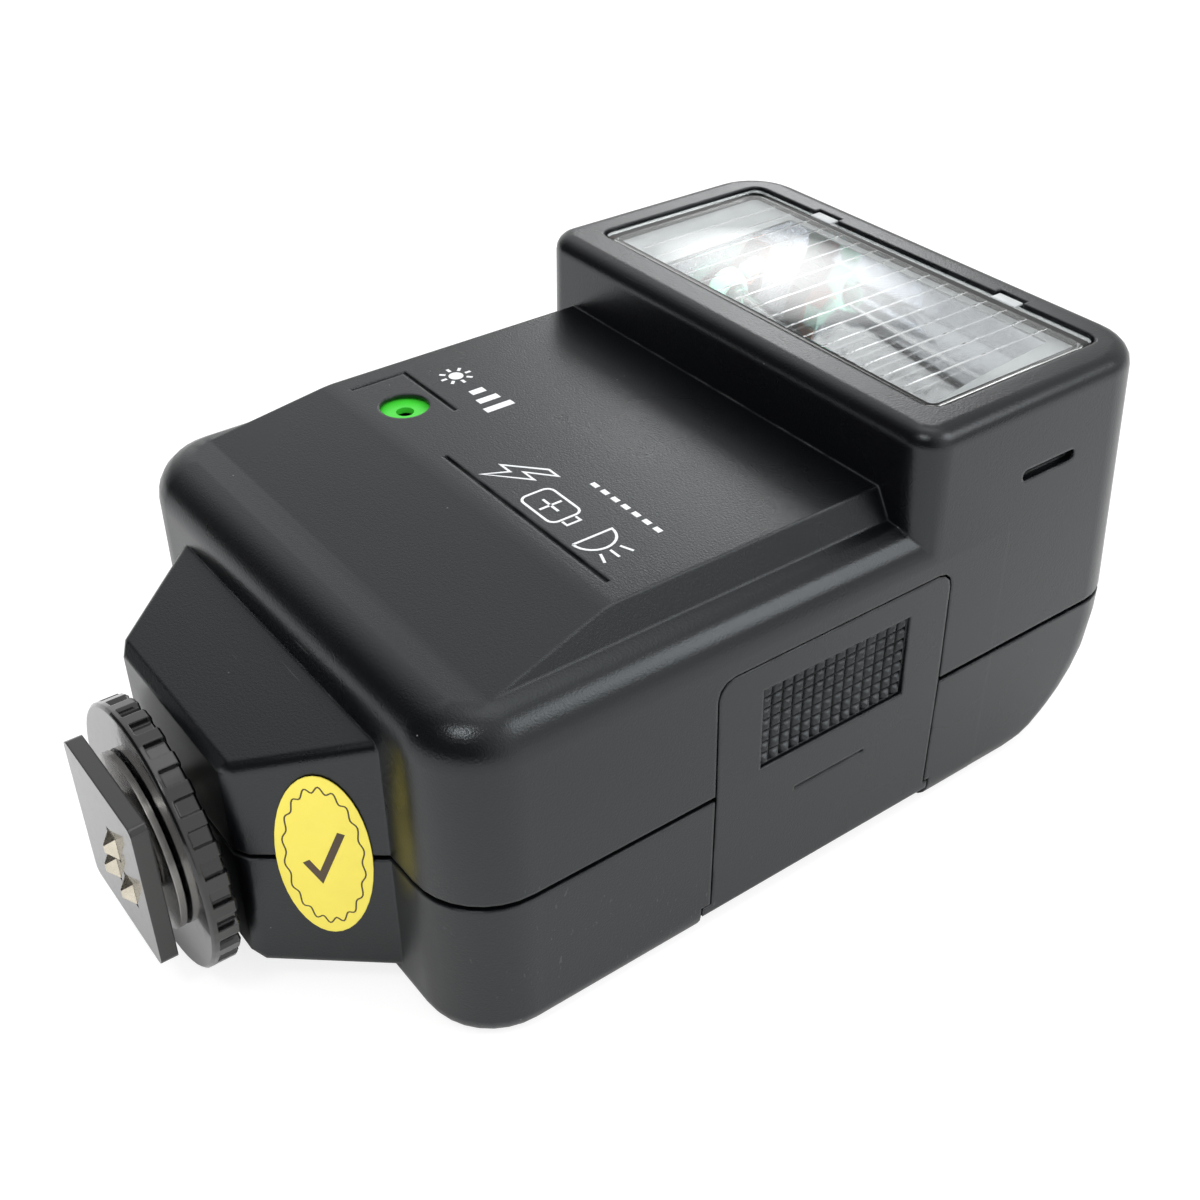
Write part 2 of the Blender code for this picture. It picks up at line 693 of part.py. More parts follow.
# ---- head: window, reflector, tube -------------------------------------------
def window_panel():
    top = HEAD_HEIGHT - WINDOW_DROP
    under = HEAD_HEIGHT - WALL - GAP
    plate = box("window_panel", (-WINDOW_HALF + GAP, WINDOW_NEAR + GAP, under - 0.6),
                (WINDOW_HALF - GAP, WINDOW_FAR - GAP, top), CLEAR, (0, 0, 0), "z", WINDOW_CORNER - GAP)
    flange = box("window_flange", (-WINDOW_HALF - WINDOW_FLANGE, WINDOW_NEAR - WINDOW_FLANGE, under - 1.0),
                 (WINDOW_HALF + WINDOW_FLANGE, WINDOW_FAR + WINDOW_FLANGE, under), None, (0, 0, 0),
                 "z", 5.0)
    join(plate, flange)
    for side in (-1, 1):
        x = side * LUG_OFFSET
        join(plate, box(f"lug_{side}", (x - LUG_HALF, WINDOW_FAR - 1, under - 0.5),
                        (x + LUG_HALF, WINDOW_FAR + LUG_REACH - GAP, top - 0.1)))
    return plate


def trough(name, half, grow, look=None):
    """Parabolic trough prism; grow is the sheet's thickness outside it."""
    rim = HEAD_HEIGHT - WALL - GAP - 1.0 - 0.35
    middle = (REFLECTOR_NEAR + REFLECTOR_FAR) / 2
    reach = (REFLECTOR_FAR - REFLECTOR_NEAR) / 2 + grow
    depth = REFLECTOR_DEPTH + grow
    steps = 12
    rings = []
    for x in (-half, half):
        ring = []
        for i in range(steps + 1):
            t = -1 + 2 * i / steps
            ring.append((x, middle + reach * t, rim - depth * (1 - abs(t) ** 2.4)))
        rise = 1.0 if grow == 0 else 0.0
        ring.append((x, middle + reach, rim + rise + 0.01))
        ring.append((x, middle - reach, rim + rise + 0.01))
        rings.append(ring)
    return loft(name, rings, look)


def reflector():
    half = REFLECTOR_HALF
    bowl = trough("reflector", half + SHEET, SHEET, MIRROR)
    cut(bowl, trough("reflector_inside", half, 0.0))
    bore = rod("tube_bore", (-half - 4, TUBE_Y, TUBE_HEIGHT), (half + 4, TUBE_Y, TUBE_HEIGHT),
               TUBE_RADIUS + GAP, sides=20)
    return cut(bowl, bore)


def flash_tube():
    """Glass tube, its end pins, and the silicone boots over its ends."""
    rod("flash_tube", (-TUBE_HALF, TUBE_Y, TUBE_HEIGHT), (TUBE_HALF, TUBE_Y, TUBE_HEIGHT),
        TUBE_RADIUS, CLEAR, sides=20)
    for side, word in ((-1, "left"), (1, "right")):
        inner = side * (REFLECTOR_HALF + SHEET + 3 * GAP)
        outer = side * (TUBE_HALF + 2.0)
        pin = side * (TUBE_HALF + GAP)
        boot = rod("tube_boot_" + word, (inner, TUBE_Y, TUBE_HEIGHT), (outer, TUBE_Y, TUBE_HEIGHT),
                   BOOT_RADIUS, MINT, sides=20)
        cut(boot, rod("boot_bore_" + word, (inner - side, TUBE_Y, TUBE_HEIGHT),
                      (outer + side, TUBE_Y, TUBE_HEIGHT), TUBE_RADIUS + GAP, sides=20))
        rod("tube_pin_" + word, (pin, TUBE_Y, TUBE_HEIGHT), (pin + side * TUBE_PIN_LENGTH, TUBE_Y, TUBE_HEIGHT),
            TUBE_PIN_RADIUS, STEEL, sides=12)


def trigger_clip():
    """Sprung strip that carries the trigger pulse to the reflector's end."""
    x = -(REFLECTOR_HALF + SHEET + GAP)
    low = TUBE_HEIGHT - 1.1
    far = CLIP_NEAR + CLIP_LENGTH
    clip = box("trigger_clip", (x - CLIP_THICK, CLIP_NEAR, low), (x, far, low + CLIP_RISE), COPPER)
    return join(clip, box("clip_foot", (x - CLIP_FOOT_REACH, CLIP_NEAR + CLIP_THICK, low),
                          (x - CLIP_THICK / 2, far - CLIP_THICK, low + CLIP_THICK)))


# ---- inside the body ---------------------------------------------------------
def main_capacitor():
    """Photoflash capacitor: a sleeved can with a rolled groove near one end."""
    radius, length, edge = CAN_RADIUS, CAN_LENGTH, 1.0
    groove = 0.9
    profile = [(0, length), (radius - edge, length), (radius, length - edge), (radius, 6.0),
               (radius - groove, 5.2), (radius - groove, 4.6), (radius, 3.8), (radius, edge),
               (radius - edge, 0), (0, 0)]
    return turned("main_capacitor", profile, (-length / 2, CAN_Y, CAN_Z), (1, 0, 0), PVC_BLUE)


# name, distance from the board's left and near edges, then length, width, height
TALL_PARTS = (("trigger_capacitor", 22.0, 13.0, 11.0, 4.5, 8.0, AMBER),
              ("thyristor", 36.0, 13.0, 5.0, 10.0, 9.0, DARK_PLASTIC),
              ("switching_transistor", 8.5, 21.0, 8.0, 4.0, 9.5, DARK_PLASTIC))


def board_parts():
    """Main board with the inverter, trigger and quench parts standing on it."""
    top = BOARD_HEIGHT + BOARD_THICK + GAP
    box("circuit_board", (BOARD_LEFT, BOARD_NEAR, BOARD_HEIGHT),
        (BOARD_RIGHT, BOARD_FAR, BOARD_HEIGHT + BOARD_THICK), BOARD_GREEN)
    core_low = Vector((BOARD_LEFT + 3.5, BOARD_NEAR + 2.5, top))
    core_size = Vector((14.0, 14.0, 10.5))
    core = box("inverter_transformer", core_low, core_low + core_size, DARK_PLASTIC, (0, 0, 0), "z", 1.0)
    join(core, box("winding", core_low + Vector((1.4, -1.1, 2.2)),
                   core_low + core_size + Vector((-1.4, 1.1, -2.2))))
    coil_radius = 4.0
    coil_y, coil_z = BOARD_NEAR + 6.0, top + coil_radius + 0.2
    rod("trigger_coil", (BOARD_LEFT + 24.5, coil_y, coil_z), (BOARD_LEFT + 35.5, coil_y, coil_z),
        coil_radius, COPPER)
    for name, x, y, length, width, height, look in TALL_PARTS:
        low = Vector((BOARD_LEFT + x, BOARD_NEAR + y, top))
        box(name, low, low + Vector((length, width, height)), look, (0, 0, 0), "z", 0.6)


def battery_chamber():
    """Open-mouthed tray for two by two cells lying across the body."""
    side = 4 * (CELL_RADIUS + CELL_PLAY)
    near, far = BAY_CENTRE - side / 2, BAY_CENTRE + side / 2
    tray = box("battery_chamber", (BAY_BACK - BAY_WALL, near - BAY_WALL, BAY_FLOOR - BAY_WALL),
               (BAY_MOUTH, far + BAY_WALL, BAY_FLOOR + side + BAY_WALL), DARK_PLASTIC)
    return cut(tray, box("bay", (BAY_BACK, near, BAY_FLOOR), (BAY_MOUTH + 1, far, BAY_FLOOR + side)))


def cell_centres():
    step = 2 * CELL_RADIUS + 2 * CELL_PLAY
    ys = (BAY_CENTRE - step / 2, BAY_CENTRE + step / 2)
    zs = (BAY_FLOOR + step / 2, BAY_FLOOR + 1.5 * step)
    return ys, zs


def contact_plates():
    """Spring-steel strips that link the cells, at the back wall and on the door."""
    (near, far), (low, high) = cell_centres()
    back = BAY_BACK + GAP
    reach = STRIP_REACH
    places = (("cell_link_strip", near, far, high), ("positive_terminal", near, near, low),
              ("negative_terminal", far, far, low))
    for name, first, last, z in places:
        box(name, (back, first - reach, z - reach), (back + STRIP_THICK, last + reach, z + reach), NICKEL)
    front = DOOR_INSIDE - GAP
    reach = DOOR_STRIP_REACH
    for word, y in (("near", near), ("far", far)):
        box("door_strip_" + word, (front - STRIP_THICK, y - reach, low - reach),
            (front, y + reach, high + reach), NICKEL, (HINGE_X, BAY_CENTRE, HINGE_Z))


def cell_spring(name, start, direction, y, z):
    """Conical coil that presses on a cell's flat end."""
    per_turn = 9
    count = int(SPRING_TURNS * per_turn)
    points = []
    for i in range(count + 1):
        t = i / count
        angle = 2 * math.pi * SPRING_TURNS * t
        radius = SPRING_WIDE + (SPRING_NARROW - SPRING_WIDE) * t
        along = SPRING_WIRE + GAP + SPRING_HEIGHT * t
        points.append((start + direction * along, y + radius * math.cos(angle), z + radius * math.sin(angle)))
    return wire(name, points, SPRING_WIRE, STEEL)


def cell_springs():
    (near, far), (low, high) = cell_centres()
    back = BAY_BACK + GAP + STRIP_THICK
    front = DOOR_INSIDE - GAP - STRIP_THICK
    cell_spring("cell_spring_back_low", back, 1, far, low)
    cell_spring("cell_spring_back_high", back, 1, near, high)
    cell_spring("cell_spring_door_low", front, -1, near, low)
    cell_spring("cell_spring_door_high", front, -1, far, high)


# ---- battery door ------------------------------------------------------------
def battery_door():
    hinge = (HINGE_X, BAY_CENTRE, HINGE_Z)
    door = box("battery_door", (DOOR_INSIDE, DOOR_NEAR, DOOR_BOTTOM), (FAR_OUT, DOOR_FAR, DOOR_TOP),
               SATIN_BLACK, hinge, "x", DOOR_CORNER, lambda co: co.z > SPLIT)
    ears = box("door_ears", (DOOR_INSIDE, DOOR_NEAR - EAR_NEAR, DOOR_BOTTOM),
               (FAR_OUT, DOOR_FAR + EAR_FAR, EAR_TOP))
    join(door, ears)
    keep(door, outside)
    for i, y in enumerate((BAY_CENTRE - KNUCKLE_OFFSET, BAY_CENTRE + KNUCKLE_OFFSET), 1):
        join(door, rod(f"knuckle_{i}", (HINGE_X, y - KNUCKLE_HALF, HINGE_Z),
                       (HINGE_X, y + KNUCKLE_HALF, HINGE_Z), KNUCKLE_RADIUS, sides=20))
    cut(door, rod("pin_bore", (HINGE_X, DOOR_NEAR - 5, HINGE_Z), (HINGE_X, DOOR_FAR + 5, HINGE_Z),
                  PIN_RADIUS + GAP, sides=20))
    grip_x = half_width((GRIP_LOW + GRIP_HIGH) / 2) - GRIP_DEPTH
    cut(door, box("grip_patch", (grip_x, BAY_CENTRE - GRIP_HALF, GRIP_LOW),
                  (FAR_OUT, BAY_CENTRE + GRIP_HALF, GRIP_HIGH)))
    cut(door, box("index_line", (half_width(INDEX_LINE) - LINE_DEPTH, BAY_CENTRE - INDEX_HALF,
                                 INDEX_LINE - LINE_HALF),
                  (FAR_OUT, BAY_CENTRE + INDEX_HALF, INDEX_LINE + LINE_HALF)))
    return door


def door_hinge_pin():
    return rod("door_hinge_pin", (HINGE_X, DOOR_NEAR - EAR_NEAR - PIN_OVERHANG, HINGE_Z),
               (HINGE_X, DOOR_FAR + EAR_FAR + PIN_OVERHANG, HINGE_Z), PIN_RADIUS, STEEL,
               (HINGE_X, BAY_CENTRE, HINGE_Z), sides=16)


# ---- foot, contacts, lock ring -----------------------------------------------
CONTACT_PLACES = (("contact_centre", 0.0, -1.6), ("contact_upper", 1.6, 2.5), ("contact_side", 4.2, -2.2))


def foot_plate():
    low, high = STEM_Z - FOOT_LENGTH / 2, STEM_Z + FOOT_LENGTH / 2
    plate = box("foot_plate", (-FOOT_HALF, 0, low), (FOOT_HALF, FOOT_THICK, high), GLOSS_BLACK,
                (0, 0, 0), "y", 1.0)
    across = CONTACT_HALF + GAP
    along = CONTACT_REACH + GAP
    for word, x, z in CONTACT_PLACES:
        cut(plate, box("slot_" + word, (x - across, -1, STEM_Z + z - along),
                       (x + across, FOOT_THICK + 1, STEM_Z + z + along)))
    return plate


def foot_contacts():
    """Sprung roof-shaped contacts that stand a little out of the foot."""
    for word, x, z in CONTACT_PLACES:
        middle = STEM_Z + z
        rings = []
        for y, share in ((-CONTACT_RISE, 0.12), (0.0, 1.0), (CONTACT_DEPTH, 1.0)):
            half, reach = share * CONTACT_HALF, share ** 0.5 * CONTACT_REACH
            rings.append([(x - half, y, middle - reach), (x + half, y, middle - reach),
                          (x + half, y, middle + reach), (x - half, y, middle + reach)])
        loft(word, rings, NICKEL, (x, 0, middle))


def foot_stem():
    """Threaded stem that carries the foot, with the flange the neck closes on."""
    start = FOOT_THICK + GAP
    shank = NECK_NEAR + WALL + GAP - start
    length = shank + FLANGE_THICK
    profile = [(0, length), (FLANGE_RADIUS, length), (FLANGE_RADIUS, shank), (STEM_RADIUS, shank),
               (STEM_RADIUS, 0), (0, 0)]
    return turned("foot_stem", profile, (0, start, STEM_Z), (0, 1, 0), STEEL)


def lock_ring():
    """Ribbed ring with a plain rim towards the foot."""
    rim = RING_NEAR + RING_RIM
    levels = ((RING_NEAR, False, RING_CHAMFER), (RING_NEAR + RING_CHAMFER, False, 0), (rim, False, 0),
              (rim + 0.1, True, 0), (RING_FAR - RING_CHAMFER, True, 0), (RING_FAR, True, RING_CHAMFER))
    edges = (0.0, RIDGE_SHARE, RIDGE_SHARE + 0.06, 0.94)
    rings = []
    for y, ribbed, drawn_in in levels:
        ring = []
        for i in range(RING_RIDGES * 4):
            angle = 2 * math.pi * (i // 4 + edges[i % 4]) / RING_RIDGES
            low = ribbed and i % 4 > 1
            radius = RING_RADIUS - drawn_in - (RIDGE_DEPTH if low else 0.0)
            ring.append((radius * math.cos(angle), y, STEM_Z + radius * math.sin(angle)))
        rings.append(ring)
    ring = loft("lock_ring", rings, GLOSS_BLACK, (0, 0, STEM_Z))
    return cut(ring, rod("ring_bore", (0, RING_NEAR - 1, STEM_Z), (0, RING_FAR + 1, STEM_Z),
                         STEM_RADIUS + GAP, sides=32))


def clamp_plate():
    far = RING_NEAR - GAP
    plate = rod("clamp_plate", (0, far - CLAMP_THICK, STEM_Z), (0, far, STEM_Z), CLAMP_RADIUS,
                GLOSS_BLACK, (0, 0, STEM_Z), sides=48)
    return cut(plate, rod("clamp_bore", (0, 0, STEM_Z), (0, RING_NEAR + 2, STEM_Z),
                          STEM_RADIUS + GAP, sides=32))


# ---- controls ----------------------------------------------------------------
def slider(name, x, y, overhang, look):
    """Slide switch: a knob in a slot of the rear wall on a wider base inside."""
    knob = box(name, (x - KNOB_HALF_LENGTH, y - KNOB_HALF_WIDTH, KNOB_SINK),
               (x + KNOB_HALF_LENGTH, y + KNOB_HALF_WIDTH, WALL + GAP + KNOB_BASE_THICK / 2), look, (x, y, 0))
    base = box(name + "_base", (x - KNOB_BASE_HALF, y - KNOB_BASE_HALF_WIDTH, WALL + GAP),
               (x + KNOB_BASE_HALF + overhang, y + KNOB_BASE_HALF_WIDTH, WALL + GAP + KNOB_BASE_THICK))
    return join(knob, base)


def stepped_rod(name, x, y, radius, flange, top, look):
    """Round control through the rear wall, kept in by a flange inside."""
    shank = rod(name, (x, y, KNOB_SINK), (x, y, top), radius, look, (x, y, 0))
    return join(shank, rod(name + "_flange", (x, y, WALL + GAP), (x, y, WALL + GAP + 1.0), flange))


def controls():
    slider("power_switch", POWER_X, CONTROL_ROW, POWER_TRAVEL, GREY_PRINT)
    slider("mode_switch", MODE_X, SENSOR_Y, STATION_PITCH - 2.7, GREY_PRINT)
    stepped_rod("test_button", 0, CONTROL_ROW, BUTTON_RADIUS, BUTTON_FLANGE, WALL + 0.8, GREY_PRINT)
    stepped_rod("ready_lamp", LAMP_X, CONTROL_ROW, LAMP_RADIUS, LAMP_FLANGE, WALL + 3, AMBER)
    box("scale_plate", (-SCALE_HALF, SCALE_NEAR, SCALE_SINK),
        (SCALE_HALF, SCALE_FAR, SCALE_SINK + SCALE_THICK), GREY_PRINT, (0, 0, 0), "z", SCALE_CORNER)


def aperture_parts():
    """Two-station aperture slide, its link to the rear knob, and the sensor."""
    low = SLIDE_TOP - SLIDE_THICK
    slide = box("aperture_slide", (SENSOR_X - SLIDE_LEFT, SENSOR_Y - SLIDE_HALF_WIDTH, low),
                (SENSOR_X + SLIDE_RIGHT, SENSOR_Y + SLIDE_HALF_WIDTH, SLIDE_TOP), GREEN,
                (SENSOR_X, SENSOR_Y, low))
    for name, x, radius in (("wide_stop", SENSOR_X, WIDE_STOP),
                            ("narrow_stop", SENSOR_X - STATION_PITCH, NARROW_STOP)):
        cut(slide, rod(name, (x, SENSOR_Y, low - 1), (x, SENSOR_Y, SLIDE_TOP + 1), radius, sides=24))
    link = SENSOR_X - SLIDE_LEFT + 0.2
    box("mode_link", (link, SENSOR_Y - LINK_HALF_WIDTH, WALL + 2 * GAP + KNOB_BASE_THICK),
        (link + LINK_THICK, SENSOR_Y + LINK_HALF_WIDTH, low - GAP), DARK_PLASTIC)
    eye = low - 2 * GAP
    rod("light_sensor", (SENSOR_X, SENSOR_Y, eye - EYE_LENGTH), (SENSOR_X, SENSOR_Y, eye), EYE_RADIUS,
        DARK_PLASTIC, sides=20)


def screws():
    """Four long screws that close the shells, heads sunk in the rear."""
    bevel = 0.9
    profile = [(0, SCREW_HEAD_DEPTH), (SCREW_HEAD - SCREW_RADIUS, SCREW_HEAD_DEPTH),
               (SCREW_HEAD, SCREW_HEAD_DEPTH - bevel), (SCREW_HEAD, 0), (SCREW_RADIUS, 0),
               (SCREW_RADIUS, SCREW_POINT - SCREW_LENGTH), (0.3, -SCREW_LENGTH), (0, -SCREW_LENGTH)]
    for i, (x, y) in enumerate(post_places(), 1):
        turned(f"shell_screw_{i}", profile, (x, y, WELL_DEPTH - GAP), (0, 0, -1), STEEL, steps=16)


def inspection_sticker():
    """Oval sticker across the parting line of the neck."""
    run = Vector((NECK_FAR_HALF - NECK_NEAR_HALF, BODY_NEAR + 0.3 - NECK_NEAR, 0)).normalized()
    out = Vector((run.y, -run.x, 0))
    middle = Vector((NECK_NEAR_HALF, NECK_NEAR, SPLIT + GAP)) + run * STICKER_ALONG + out * STICKER_THICK
    rings = []
    points = 40
    for lift in (0.0, STICKER_THICK):
        ring = []
        for i in range(points):
            angle = 2 * math.pi * i / points
            across = run * STICKER_HALF_WIDTH * math.cos(angle)
            up = Vector((0, 0, STICKER_HALF_HEIGHT * math.sin(angle)))
            ring.append(middle + across + up + out * lift)
        rings.append(ring)
    return loft("inspection_sticker", rings, YELLOW)


def leads():
    """Wires from the board to the tube, the cells and the foot contacts."""
    pin_end = TUBE_HALF + TUBE_PIN_LENGTH
    beside_wall = BODY_HALF - WALL - 2.0
    behind_bay = BAY_BACK - BAY_WALL - 1.0
    wire("tube_lead_left", [(-pin_end, TUBE_Y, TUBE_HEIGHT - 1.0), (-pin_end, TUBE_Y - 0.6, TUBE_HEIGHT - 3.6),
                            (-beside_wall, 100.0, 37.0), (1.6 - beside_wall, 92.0, 35.0),
                            (-27.0, 80.0, 38.8), (-20.0, 66.0, 38.8), (-14.0, 58.0, 38.6),
                            (-12.0, 55.0, 37.0)], 0.6, WIRE_RED, 1)
    wire("tube_lead_right", [(pin_end, TUBE_Y, TUBE_HEIGHT - 1.0), (pin_end, TUBE_Y - 1.6, TUBE_HEIGHT - 3.6),
                             (beside_wall - 1.1, 96.0, 38.6), (26.0, 80.0, 38.8), (22.0, 64.0, 38.8),
                             (20.0, 54.0, 38.0)], 0.6, DARK_PLASTIC, 1)
    wire("foot_lead", [(2.0, 15.2, 17.0), (3.0, 18.0, 18.5), (4.0, 21.0, 20.5), (5.0, 26.0, 22.2),
                       (6.0, 31.0, 22.6), (8.0, 36.0, 22.6)], 0.6, WIRE_RED, 1)
    wire("battery_lead", [(behind_bay, 70.0, 12.0), (behind_bay - 1.2, 66.0, 13.0),
                          (behind_bay - 1.4, 58.0, 17.0),
                          (-20.6, 53.6, 20.4), (-14.0, 49.0, 22.4), (-8.0, 46.0, 22.8)],
         0.6, WIRE_RED, 1)


# ---- build -------------------------------------------------------------------
front_shell()
rear_shell()
window_panel()
reflector()
flash_tube()
trigger_clip()
main_capacitor()
board_parts()
battery_chamber()
contact_plates()
cell_springs()
battery_door()
door_hinge_pin()
foot_plate()
foot_contacts()
foot_stem()
lock_ring()
clamp_plate()
controls()
aperture_parts()
screws()
inspection_sticker()
leads()
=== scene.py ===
# %% [markdown]
# # A speedlight flash, finished for looks
# The solid model of the flash is already made: shells, door, foot, lock ring and
# everything inside. This lesson gives those solids their surfaces, swaps a few of them
# for finer ones, adds the small pieces that only matter to the eye, and sets up a plain
# studio round them.

# %% Load the solid model
import json
import math

import bmesh
import bpy
from mathutils import Matrix, Vector


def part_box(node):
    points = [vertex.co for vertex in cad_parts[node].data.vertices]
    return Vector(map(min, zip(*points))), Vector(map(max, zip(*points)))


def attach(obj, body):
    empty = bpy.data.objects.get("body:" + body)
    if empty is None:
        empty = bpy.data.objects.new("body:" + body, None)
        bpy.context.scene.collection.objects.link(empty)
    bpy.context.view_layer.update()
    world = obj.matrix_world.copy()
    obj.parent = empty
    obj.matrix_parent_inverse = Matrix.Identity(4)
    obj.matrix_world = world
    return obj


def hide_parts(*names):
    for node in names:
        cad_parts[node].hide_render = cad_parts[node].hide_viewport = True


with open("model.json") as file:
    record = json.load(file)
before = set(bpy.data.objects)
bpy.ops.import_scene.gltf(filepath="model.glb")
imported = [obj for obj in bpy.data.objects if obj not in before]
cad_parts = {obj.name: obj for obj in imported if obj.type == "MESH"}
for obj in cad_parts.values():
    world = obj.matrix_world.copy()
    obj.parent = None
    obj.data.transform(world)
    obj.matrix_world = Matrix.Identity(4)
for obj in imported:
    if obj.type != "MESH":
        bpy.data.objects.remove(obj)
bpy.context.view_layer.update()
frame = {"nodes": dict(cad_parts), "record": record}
MM = 0.001
nodes = frame["nodes"]
print("nodes:", len(nodes))

# %% [markdown]
# ## Camera
# The flash lies on its back and is seen from above its battery-door corner. A camera
# can be placed by a tracking constraint or by numbers. Numbers are steadier here: a
# place, a direction of view and a very small roll, with a lens a little longer than normal.

# %% Camera
CAMERA_PLACE = Vector((131.65, -91.83, 139.47)) * MM
CAMERA_AIM = Vector((-0.65367, 0.47927, -0.58568))
CAMERA_ROLL = math.radians(-0.4)

camera_data = bpy.data.cameras.new("studio_camera")
camera_data.lens = 47.14
camera_data.sensor_width = 36.0
camera_data.clip_start = 0.01
camera = bpy.data.objects.new("studio_camera", camera_data)
turn = CAMERA_AIM.to_track_quat('-Z', 'Y').to_matrix().to_4x4()
camera.matrix_world = Matrix.Translation(CAMERA_PLACE) @ turn @ Matrix.Rotation(CAMERA_ROLL, 4, 'Z')
scene = bpy.context.scene
scene.collection.objects.link(camera)
scene.camera = camera
scene.view_settings.view_transform = 'Standard'
print("camera", round(CAMERA_PLACE.length / MM), "mm from the middle of the base")

# %% [markdown]
# ## Node helpers
# A material here is a small network of nodes. Short helpers keep each network
# readable: one adds a node, one sets its inputs, and the rest are the few patterns that
# every finish uses, such as noise, a range, a mix and a bump.

# %% Node helpers
def add_node(tree, kind, **values):
    """A node with some of its properties set."""
    node = tree.nodes.new(kind)
    for key, value in values.items():
        setattr(node, key, value)
    return node


def set_inputs(node, **values):
    """Input sockets set by name, with underscores for spaces."""
    for key, value in values.items():
        node.inputs[key.replace("_", " ")].default_value = value
    return node


def new_material(name, colour, roughness):
    """A new material: its tree, its shader, and object coordinates in metres."""
    material = bpy.data.materials.new(name)
    material.use_nodes = True
    tree = material.node_tree
    shader = tree.nodes["Principled BSDF"]
    set_inputs(shader, Base_Color=(*colour, 1.0), Roughness=roughness)
    place = add_node(tree, "ShaderNodeTexCoord").outputs["Object"]
    return material, tree, shader, place


def noise(tree, place, scale, detail=3.0, roughness=0.5):
    node = add_node(tree, "ShaderNodeTexNoise")
    set_inputs(node, Scale=scale, Detail=detail, Roughness=roughness)
    tree.links.new(place, node.inputs["Vector"])
    return node.outputs["Fac"]


def ramp(tree, value, low, high, start, end):
    """A value carried from one range to another, clamped."""
    node = add_node(tree, "ShaderNodeMapRange")
    set_inputs(node, From_Min=low, From_Max=high, To_Min=start, To_Max=end)
    tree.links.new(value, node.inputs["Value"])
    return node.outputs["Result"]


def mix_colour(tree, factor, first, second):
    """Two colours mixed by a factor; either may be a socket."""
    node = add_node(tree, "ShaderNodeMix", data_type='RGBA')
    tree.links.new(factor, node.inputs["Factor"])
    for socket, value in ((node.inputs[6], first), (node.inputs[7], second)):
        if isinstance(value, tuple):
            socket.default_value = (*value, 1.0)
        else:
            tree.links.new(value, socket)
    return node.outputs[2]


def multiply(tree, first, second):
    node = add_node(tree, "ShaderNodeMath", operation='MULTIPLY')
    tree.links.new(first, node.inputs[0])
    tree.links.new(second, node.inputs[1])
    return node.outputs[0]


def soft_edges(tree, radius):
    """Normals rounded over the sharp edges, as a real moulded edge is."""
    node = add_node(tree, "ShaderNodeBevel", samples=6)
    node.inputs["Radius"].default_value = radius
    return node.outputs["Normal"]


def bump(tree, shader, height, strength, depth, under=None):
    node = add_node(tree, "ShaderNodeBump")
    set_inputs(node, Strength=strength, Distance=depth)
    tree.links.new(height, node.inputs["Height"])
    if under is not None:
        tree.links.new(under, node.inputs["Normal"])
    tree.links.new(node.outputs["Normal"], shader.inputs["Normal"])


def edge_mask(tree, rounded, low=0.03, high=0.35):
    """How much a point lies on a sharp edge, from 0 on a flat to 1 on the edge."""
    flat = add_node(tree, "ShaderNodeNewGeometry")
    dot = add_node(tree, "ShaderNodeVectorMath", operation='DOT_PRODUCT')
    tree.links.new(rounded, dot.inputs[0])
    tree.links.new(flat.outputs["Normal"], dot.inputs[1])
    return ramp(tree, dot.outputs["Value"], 1.0 - high, 1.0 - low, 1.0, 0.0)


def specks(tree, place, scale, size, amount):
    """Sparse round specks, gathered in patches."""
    node = add_node(tree, "ShaderNodeTexVoronoi")
    set_inputs(node, Scale=scale)
    tree.links.new(place, node.inputs["Vector"])
    spot = ramp(tree, node.outputs["Distance"], size, size * 1.6, amount, 0.0)
    return multiply(tree, spot, ramp(tree, noise(tree, place, 70.0), 0.58, 0.66, 0.0, 1.0))


print("helpers ready")

# %% [markdown]
# ## Moulded plastics
# The casing is black ABS moulded against a finely etched tool, so it is satin, not
# glossy, and takes broad soft highlights. The grain could be modelled, but at a tenth
# of a millimetre a bump from fine noise is truer and lighter. Handling polishes it in
# patches and leaves a few specks of dust and short scratches. Its sharp edges are
# painted paler in patches: partly rubbing wear, partly a painted highlight along each edge.

# %% Moulded plastic
def scratches(tree, place, amount):
    """Short hairlines: noise drawn out along one slanted direction."""
    aim = add_node(tree, "ShaderNodeMapping")
    set_inputs(aim, Rotation=(0.3, 0.2, 0.6), Scale=(90.0, 2600.0, 900.0))
    tree.links.new(place, aim.inputs["Vector"])
    node = add_node(tree, "ShaderNodeTexNoise")
    set_inputs(node, Scale=1.0, Detail=1.0)
    tree.links.new(aim.outputs["Vector"], node.inputs["Vector"])
    line = ramp(tree, node.outputs["Fac"], 0.70, 0.76, 0.0, amount)
    return multiply(tree, line, ramp(tree, noise(tree, place, 38.0), 0.6, 0.68, 0.0, 1.0))


